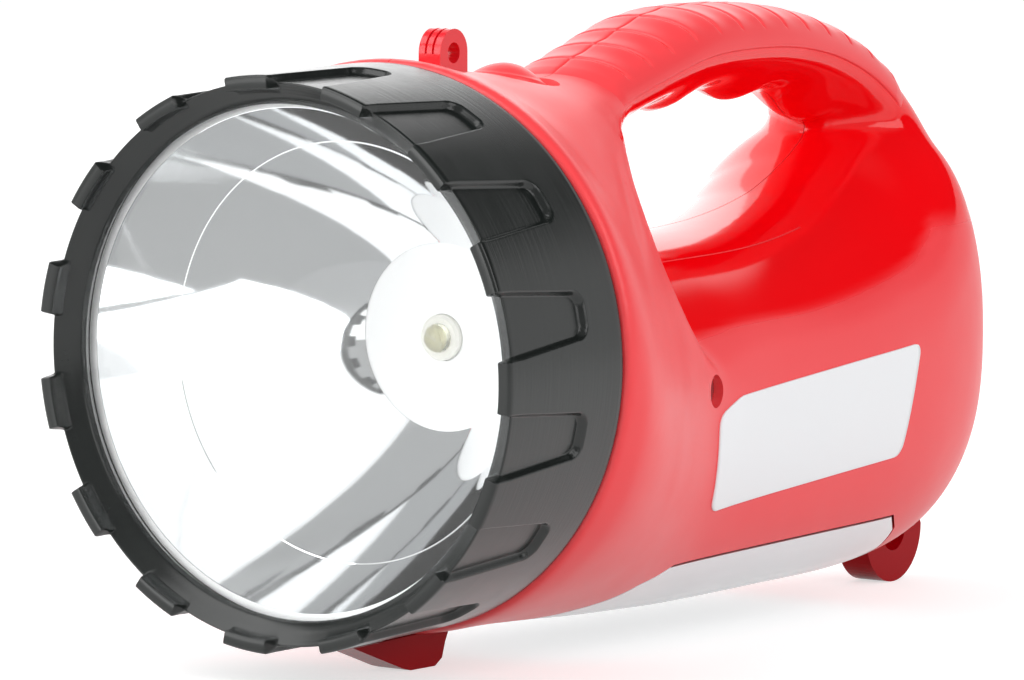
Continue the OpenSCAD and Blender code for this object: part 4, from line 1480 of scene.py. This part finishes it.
@dataclass
class GripPad(SubAssembly):
    """The ribbed upper side of the grip, which ends in an edge along each side."""

    shell: BodyShell
    first: float = 86.5
    end_height: float = 30.0
    rows_per_rib: int = 20
    even_share: float = 0.3
    tip_rows: int = 9
    least_step: float = 0.02
    proud: float = 0.45
    sunk: float = -0.9
    fade: float = 5.0
    lowest: float = 4.0
    edge: float = 2.6
    skirt: float = -0.6
    skirt_drop: float = 1.2
    rib_pitch: float = 7.4
    rib_start: float = 1.7
    rib_swell: float = 0.22
    groove_depth: float = 0.9
    groove_width: float = 0.27
    groove_side: float = 28.0
    groove_fade: float = 14.0
    seam_depth: float = 0.35
    seam_width: float = 0.4
    thickness: float = 1.6

    def stations(self) -> np.ndarray:
        """Stations along the pad, dense in the grooves.

        Returns:
            Rows of the arch, with the distance run as the last column.
        """
        spine = self.shell.spine()
        run = np.concatenate([[0], np.cumsum(np.hypot(*np.diff(spine[:, :2], axis=0).T))])
        top = spine[:, 1].argmax()
        start = np.interp(self.first, spine[:top, 0], run[:top])
        length = run[top:][np.argmax(spine[top:, 1] < self.end_height)] - start
        share = np.linspace(-0.5, 0.5, self.rows_per_rib, endpoint=False)
        offset = self.rib_pitch * (self.even_share * share + 4 * (1 - self.even_share) * share ** 3)
        grooves = np.arange(self.rib_start, length + self.rib_pitch, self.rib_pitch)
        tip = self.fade * np.linspace(0, 1, self.tip_rows) ** 2
        at = np.concatenate([(grooves[:, None] + offset).ravel(), tip, length - tip])
        at = np.unique(np.clip(at, 0, length))
        at = at[np.append(True, np.diff(at) > self.least_step)]
        columns = [np.interp(start + at, run, spine[:, k]) for k in range(spine.shape[1])]
        return np.stack(columns + [at], axis=1)

    def angles(self) -> np.ndarray:
        """Angles round the pad, close together at its edges and at the seam.

        Returns:
            The angles in degrees.
        """
        rim = self.lowest + np.array([-4, -1.5, 0, 0.15, 0.4, 0.9, 1.6, 2.6])
        side = np.concatenate([rim, np.linspace(self.lowest + 5, 88.8, 32)])
        return np.concatenate([side, [89.5, 90.0, 90.5], 180 - side[::-1]])

    def skin(self, rows: np.ndarray, angle: np.ndarray) -> np.ndarray:
        """The grip's plain skin at those stations and angles.

        Args:
            rows: stations of the arch.
            angle: angles in radians.

        Returns:
            A grid of points.
        """
        power = 2 / self.shell.arch_fullness
        cosine, sine = np.cos(angle), np.sin(angle)
        wide = np.sign(cosine) * np.abs(cosine) ** power
        tall = np.sign(sine) * np.abs(sine) ** power
        reach = np.where(sine >= 0, rows[:, 3:4], rows[:, 4:5]) * tall
        x = rows[:, 2:3] * wide
        y = rows[:, 0:1] - reach * rows[:, 6:7]
        z = rows[:, 1:2] + reach * rows[:, 5:6]
        return np.stack([x, y, z], axis=-1)

    def relief(self, run: np.ndarray, angle: np.ndarray) -> np.ndarray:
        """Height over the plain skin: proud in the middle, sunk at the edges, with ribs and the seam.

        Args:
            run: distance along the pad.
            angle: angles in degrees.

        Returns:
            A grid of heights.
        """
        from_side = np.minimum(angle, 180 - angle)
        side = np.clip((from_side - self.lowest) / self.edge, self.skirt, 1)
        ends = np.clip(np.minimum(run, run[-1] - run) / self.fade, 0, 1)[:, None]
        swell = np.sqrt(np.minimum(np.clip(side, 0, 1), ends))
        height = self.sunk + (self.proud - self.sunk) * swell + np.minimum(side, 0) * self.skirt_drop
        across = rise(from_side, self.groove_side, self.groove_fade)
        place = (run - self.rib_start + self.rib_pitch / 2) % self.rib_pitch - self.rib_pitch / 2
        groove = self.groove_depth * np.exp(-(place / self.groove_width) ** 2)
        rib = self.rib_swell * np.cos(math.pi * place / self.rib_pitch) ** 2
        seam = self.seam_depth * np.exp(-((angle - 90) / self.seam_width) ** 2)
        return height + ((rib - groove)[:, None] * across - seam) * ends

    def build(self) -> None:
        """Makes the pad."""
        rows = self.stations()
        degrees = self.angles()
        points = self.skin(rows, np.radians(degrees))
        along = np.gradient(points, axis=0)
        around = np.gradient(points, axis=1)
        normal = np.cross(around, along)
        normal /= np.linalg.norm(normal, axis=-1)[..., None]
        normal *= np.sign((normal * (points - points.mean(axis=1, keepdims=True))).sum())
        points = points + normal * self.relief(rows[:, -1], degrees)[..., None]
        inner = points - normal * self.thickness
        loop = np.concatenate([points, inner[:, ::-1]], axis=1)
        pad = add_object("grip_pad", make_mesh("grip_pad", *capped(loop.reshape(-1, 3), len(loop))))
        self.settle(pad, Body.HOUSING, Slot.SHELL)


@dataclass
class PushButton(SubAssembly):
    """The round button, crowned and standing a little out of its dish."""

    shell: BodyShell
    radius: float = 7.3
    crown: float = 3.4
    rim: float = 0.6
    round_off: float = 0.7
    skirt: float = 5.0
    pole: float = 0.01
    around: int = 96
    rings: int = 14
    sharp: float = 50.0

    def profile(self) -> np.ndarray:
        """The button's outline, from the middle of the crown to the skirt's end.

        Returns:
            Rows of radius and height over the seat.
        """
        share = np.linspace(0, 1, self.rings)
        radius = (self.radius - self.round_off) * share
        top = np.stack([radius, self.crown - (self.crown - self.rim) * share ** 2], axis=1)
        turn = np.radians([25, 50, 75, 90])
        edge = np.stack([
            self.radius - self.round_off * (1 - np.sin(turn)),
            self.rim - self.round_off * (1 - np.cos(turn))], axis=1)
        end = [[self.radius, -self.skirt], [self.pole, -self.skirt]]
        return np.vstack([[[self.pole, self.crown]], top[1:], edge, end])

    def build(self) -> None:
        """Makes the button."""
        profile = self.profile()
        flat = lathe_points(profile, self.around)
        tilt = math.radians(self.shell.button_tilt)
        upright = np.array([0, math.sin(tilt), math.cos(tilt)])
        rearward = np.array([0, math.cos(tilt), -math.sin(tilt)])
        seat = np.array(self.shell.button_seat)
        points = seat + flat[:, :1] * [1, 0, 0] + flat[:, 2:] * rearward + flat[:, 1:2] * upright
        faces = ring_faces(len(profile), self.around, False)[:, ::-1]
        cap = add_sharp("button_cap", points, faces, self.sharp)
        self.settle(cap, Body.BUTTON, Slot.SHELL, "switch_button")


@dataclass
class Bezel(SubAssembly):
    """The black ring with its lugs and thumb pockets, rounded as moulded."""

    radius: float = 50.0
    length: float = 34.8
    lugs: int = 15
    turn: float = -5.5
    depth: float = 1.25
    front_cut: float = 3.0
    pocket_end: float = 24.0
    mouth: float = 5.70
    throat: float = 4.0
    taper_start: float = 2.0
    taper_span: float = 19.0
    corner: float = 2.6
    softness: float = 0.42
    bore: float = 45.95
    bore_end: float = 7.0
    each: int = 120
    sharp: float = 60.0

    def pocket(self, angle: np.ndarray, distance: np.ndarray) -> np.ndarray:
        """How far the thumb pocket is cut in: 0 on a lug, 1 on the pocket's floor.

        Args:
            angle: degrees round the ring.
            distance: distance behind the bezel's front.

        Returns:
            The share of the pocket's depth.
        """
        pitch = 360 / self.lugs
        aside = (angle - self.turn) % pitch - pitch / 2
        arc = self.radius * np.radians(np.abs(aside))
        half = self.mouth + (self.throat - self.mouth) * rise(distance, self.taper_start, self.taper_span)
        over = arc - half + self.corner
        beyond = distance - self.pocket_end + self.corner
        inner = np.minimum(np.maximum(over, beyond), 0)
        gap = np.hypot(np.maximum(over, 0), np.maximum(beyond, 0)) + inner - self.corner
        share = np.clip(0.5 - gap / (2 * self.softness), 0, 1)
        return share * share * (3 - 2 * share)

    @staticmethod
    def front_profile() -> np.ndarray:
        """The front, from the lip outwards.

        Returns:
            Rows of radius and distance on a lug, then in a pocket.
        """
        lip = [[44.7, 6.9], [44.7, 5.8], [44.95, 5.3], [46.2, 4.35], [47.3, 3.52]]
        lug = [
            [47.5, 3.2], [47.5, 1.6], [47.5, 0.45], [47.62, 0.13], [47.95, 0.0], [48.7, 0.0],
            [49.45, 0.0], [49.83, 0.15], [50.0, 0.55], [50.0, 1.4], [50.0, 2.4]]
        pocket = [
            [47.5, 3.36], [47.75, 3.17], [48.0, 2.98], [48.2, 2.82], [48.35, 2.71], [48.5, 2.6],
            [48.6, 2.62], [48.7, 2.7], [48.75, 2.9], [48.75, 3.3], [48.75, 3.7]]
        return np.hstack([lip + lug, lip + pocket])

    def back_profile(self) -> list[tuple[float, float]]:
        """The rounded back edge and the bore: steps in from the radius and back from the length."""
        return [(0, -0.6), (-0.08, -0.32), (-0.3, -0.1), (-0.6, 0.0), (self.bore - self.radius, 0.0)]

    @staticmethod
    def side_places() -> np.ndarray:
        """Distances of the rings along the side, close together where the pockets end."""
        return np.concatenate([np.arange(4.3, 20, 1.1), np.arange(20, 25.6, 0.4), [27, 30, 33.2]])

    def build(self) -> None:
        """Makes the ring."""
        around = self.lugs * self.each
        angle = np.arange(around) * 360 / around
        whole = np.ones(around)
        rings = []
        open_front = self.pocket(angle, self.front_cut * whole)
        for lug_radius, lug_place, floor_radius, floor_place in self.front_profile():
            radius = lug_radius + (floor_radius - lug_radius) * open_front
            rings.append((radius, lug_place + (floor_place - lug_place) * open_front))
        for place in self.side_places():
            distance = place * whole
            rings.append((self.radius - self.depth * self.pocket(angle, distance), distance))
        for inset, place in self.back_profile():
            rings.append(((self.radius + inset) * whole, (self.length + place) * whole))
        rings.append((self.bore * whole, self.bore_end * whole))
        turn = np.radians(angle)
        points = np.vstack([np.stack([r * np.sin(turn), y, r * np.cos(turn)], axis=1) for r, y in rings])
        ring = add_sharp("bezel_lugged", points, ring_faces(len(rings), around, True), self.sharp)
        self.settle(ring, Body.BEZEL, Slot.BEZEL, "bezel_ring")


@dataclass
class MirrorBowl(SubAssembly):
    """The deep mirror, a parabola with one step, and the white ring in front of it."""

    rim: float = 43.8
    rim_depth: float = 9.9
    step_radius: float = 37.0
    step: float = 0.16
    throat: float = 17.0
    throat_depth: float = 53.1
    wall: float = 1.0
    ring_radius: float = 45.4
    ring_end: float = 11.6
    ring_ahead: float = 0.15
    ring_edge: float = 0.12
    ring_gap: float = 0.1
    around: int = 256
    count: int = 56
    sharp: float = 30.0
    ring_sharp: float = 50.0

    def profile(self) -> np.ndarray:
        """The mirror's face from the rim to the throat, with the step.

        Returns:
            Rows of radius and distance.
        """
        spread = (self.rim ** 2 - self.throat ** 2) / (self.throat_depth - self.rim_depth)
        vertex = self.rim_depth + self.rim ** 2 / spread
        outside = np.linspace(self.rim, self.step_radius, self.count // 3)
        inside = np.linspace(self.step_radius - self.step / 4, self.throat, self.count)
        radius = np.concatenate([outside, inside - self.step])
        depth = vertex - np.concatenate([outside, inside]) ** 2 / spread
        return np.stack([radius, depth], axis=1)

    def ring_profile(self) -> np.ndarray:
        """The section of the white ring.

        Returns:
            Rows of radius and distance.
        """
        start, edge = self.rim_depth - self.ring_ahead, self.ring_edge
        bore, outer = self.rim + self.ring_gap, self.ring_radius
        return np.array([
            [bore, self.ring_end], [bore, start + edge], [bore + edge, start],
            [outer - edge, start], [outer, start + edge], [outer, self.ring_end]])

    def lathed(self, name: str, profile: np.ndarray, sharp: float) -> bpy.types.Object:
        """A closed ring turned from a section, with edges sharp past an angle."""
        faces = ring_faces(len(profile), self.around, True)
        return add_sharp(name, lathe_points(profile, self.around), faces, sharp)

    def build(self) -> None:
        """Makes the bowl with its outer side, and the white ring."""
        face = self.profile()
        outer = face[::-1] + [self.wall, 0.0]
        bowl = self.lathed("mirror_bowl", np.vstack([face, outer]), self.sharp)
        self.settle(bowl, Body.HOUSING, Slot.MIRROR, "reflector")
        ring = self.lathed("gasket_ring", self.ring_profile(), self.ring_sharp)
        self.settle(ring, Body.HOUSING, Slot.GASKET, "lens_gasket")


@dataclass
class FlankLabel(SubAssembly):
    """The bare white film on the flank, with rounded corners."""

    shell: BodyShell
    front: float = 88.0
    back: float = 48.0
    low_front: float = -33.0
    low_rise: float = 3.0
    low_back: float = 6.0
    bend: float = 0.12
    bend_station: float = 97.0
    high: Triple = (-15.5, -12.7, -9.2)
    long: float = 68.0
    tall: float = 19.0
    corner: float = 2.2
    lift: float = 0.28
    thickness: float = 0.4
    columns: int = 60

    def edges(self, share: np.ndarray) -> tuple[np.ndarray, np.ndarray]:
        """Lower and upper edge of the film.

        Args:
            share: shares of the film's length.

        Returns:
            Rows of distance and height for each edge.
        """
        back = self.shell.length - self.back
        low_length = back - self.low_back - self.front
        low = np.stack([self.front + low_length * share, self.low_front + self.low_rise * share], axis=-1)
        stops = [0, self.bend, 1]
        station = np.interp(share, stops, [self.front, self.bend_station, back])
        return low, np.stack([station, np.interp(share, stops, self.high)], axis=-1)

    def flank(self, station: np.ndarray, height: np.ndarray) -> np.ndarray:
        """Half width of the hull at those places."""
        half, waist, reach, power = self.shell.hull_section(station, height)
        return half * (1 - (np.abs(height - waist) / reach) ** power) ** (1 / power)

    def build(self) -> None:
        """Makes the film."""
        ease = np.array([0, 0.01, 0.025, 0.045, 0.07, 0.1])
        level = np.concatenate([ease, np.linspace(0.13, 0.87, 12), 1 - ease[::-1]])
        from_edge = np.minimum(level, 1 - level) * self.tall
        missing = np.maximum(self.corner - from_edge, 0)
        inset = self.corner - np.sqrt(np.maximum(self.corner ** 2 - missing ** 2, 0))
        rows = []
        for height, cut in zip(level, inset / self.long):
            low, high = self.edges(cut + (1 - 2 * cut) * np.linspace(0, 1, self.columns))
            rows.append(low + (high - low) * height)
        flat = np.array(rows)
        out = self.flank(flat[..., 0], flat[..., 1]) + self.lift
        face = np.stack([out, flat[..., 0], flat[..., 1]], axis=-1)
        rings = ring_faces(len(level), self.columns, False).reshape(-1, self.columns, 4)
        quads = rings[:, :-1].reshape(-1, 4)
        film = add_object("label_film", make_mesh("label_film", face.reshape(-1, 3), quads))
        thick = film.modifiers.new("thickness", "SOLIDIFY")
        thick.thickness = self.thickness * MM
        thick.offset = -1
        self.settle(film, Body.HOUSING, Slot.LABEL, "flank_label")


@dataclass
class RoundedNodes(SubAssembly):
    """CAD pieces that keep their shape and only get the rounded edges of a moulding."""

    width: float = 0.35
    segments: int = 3
    sharp: float = 35.0

    def build(self) -> None:
        """Rounds the strap eye and the feet, gives the eye its glossy red and the feet a red darkened as painted
        shade, and clears the shadows of the glass.
        """
        # The feet take the red that is darkened as painted shade.
        looks = {"front_strap_eye": "eye_red", "front_foot": "strap_red_painted_shade", "rear_strap_foot": "strap_red_painted_shade"}
        for name, finish in looks.items():
            self.workshop.paint(name, finish)
            bevel = frame["nodes"][name].modifiers.new("moulded_edge", "BEVEL")
            bevel.width = self.width * MM
            bevel.segments = self.segments
            bevel.limit_method = "ANGLE"
            bevel.angle_limit = math.radians(self.sharp)
        for name in ("front_lens", "lamp_led_dome"):
            frame["nodes"][name].visible_shadow = False


def main() -> None:
    """Builds the studio, then each sub-assembly in order."""
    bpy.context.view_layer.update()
    PhotoCamera().build()
    Studio().build()
    workshop = Workshop()
    workshop.dress_nodes()
    shell = BodyShell(workshop)
    shell.build()
    GripPad(workshop, shell).build()
    PushButton(workshop, shell).build()
    Bezel(workshop).build()
    MirrorBowl(workshop).build()
    FlankLabel(workshop, shell).build()
    RoundedNodes(workshop).build()


if __name__ == "__main__":
    bpy.context.scene.view_settings.view_transform = "Standard"
    logging.basicConfig(level=logging.INFO)
    main()
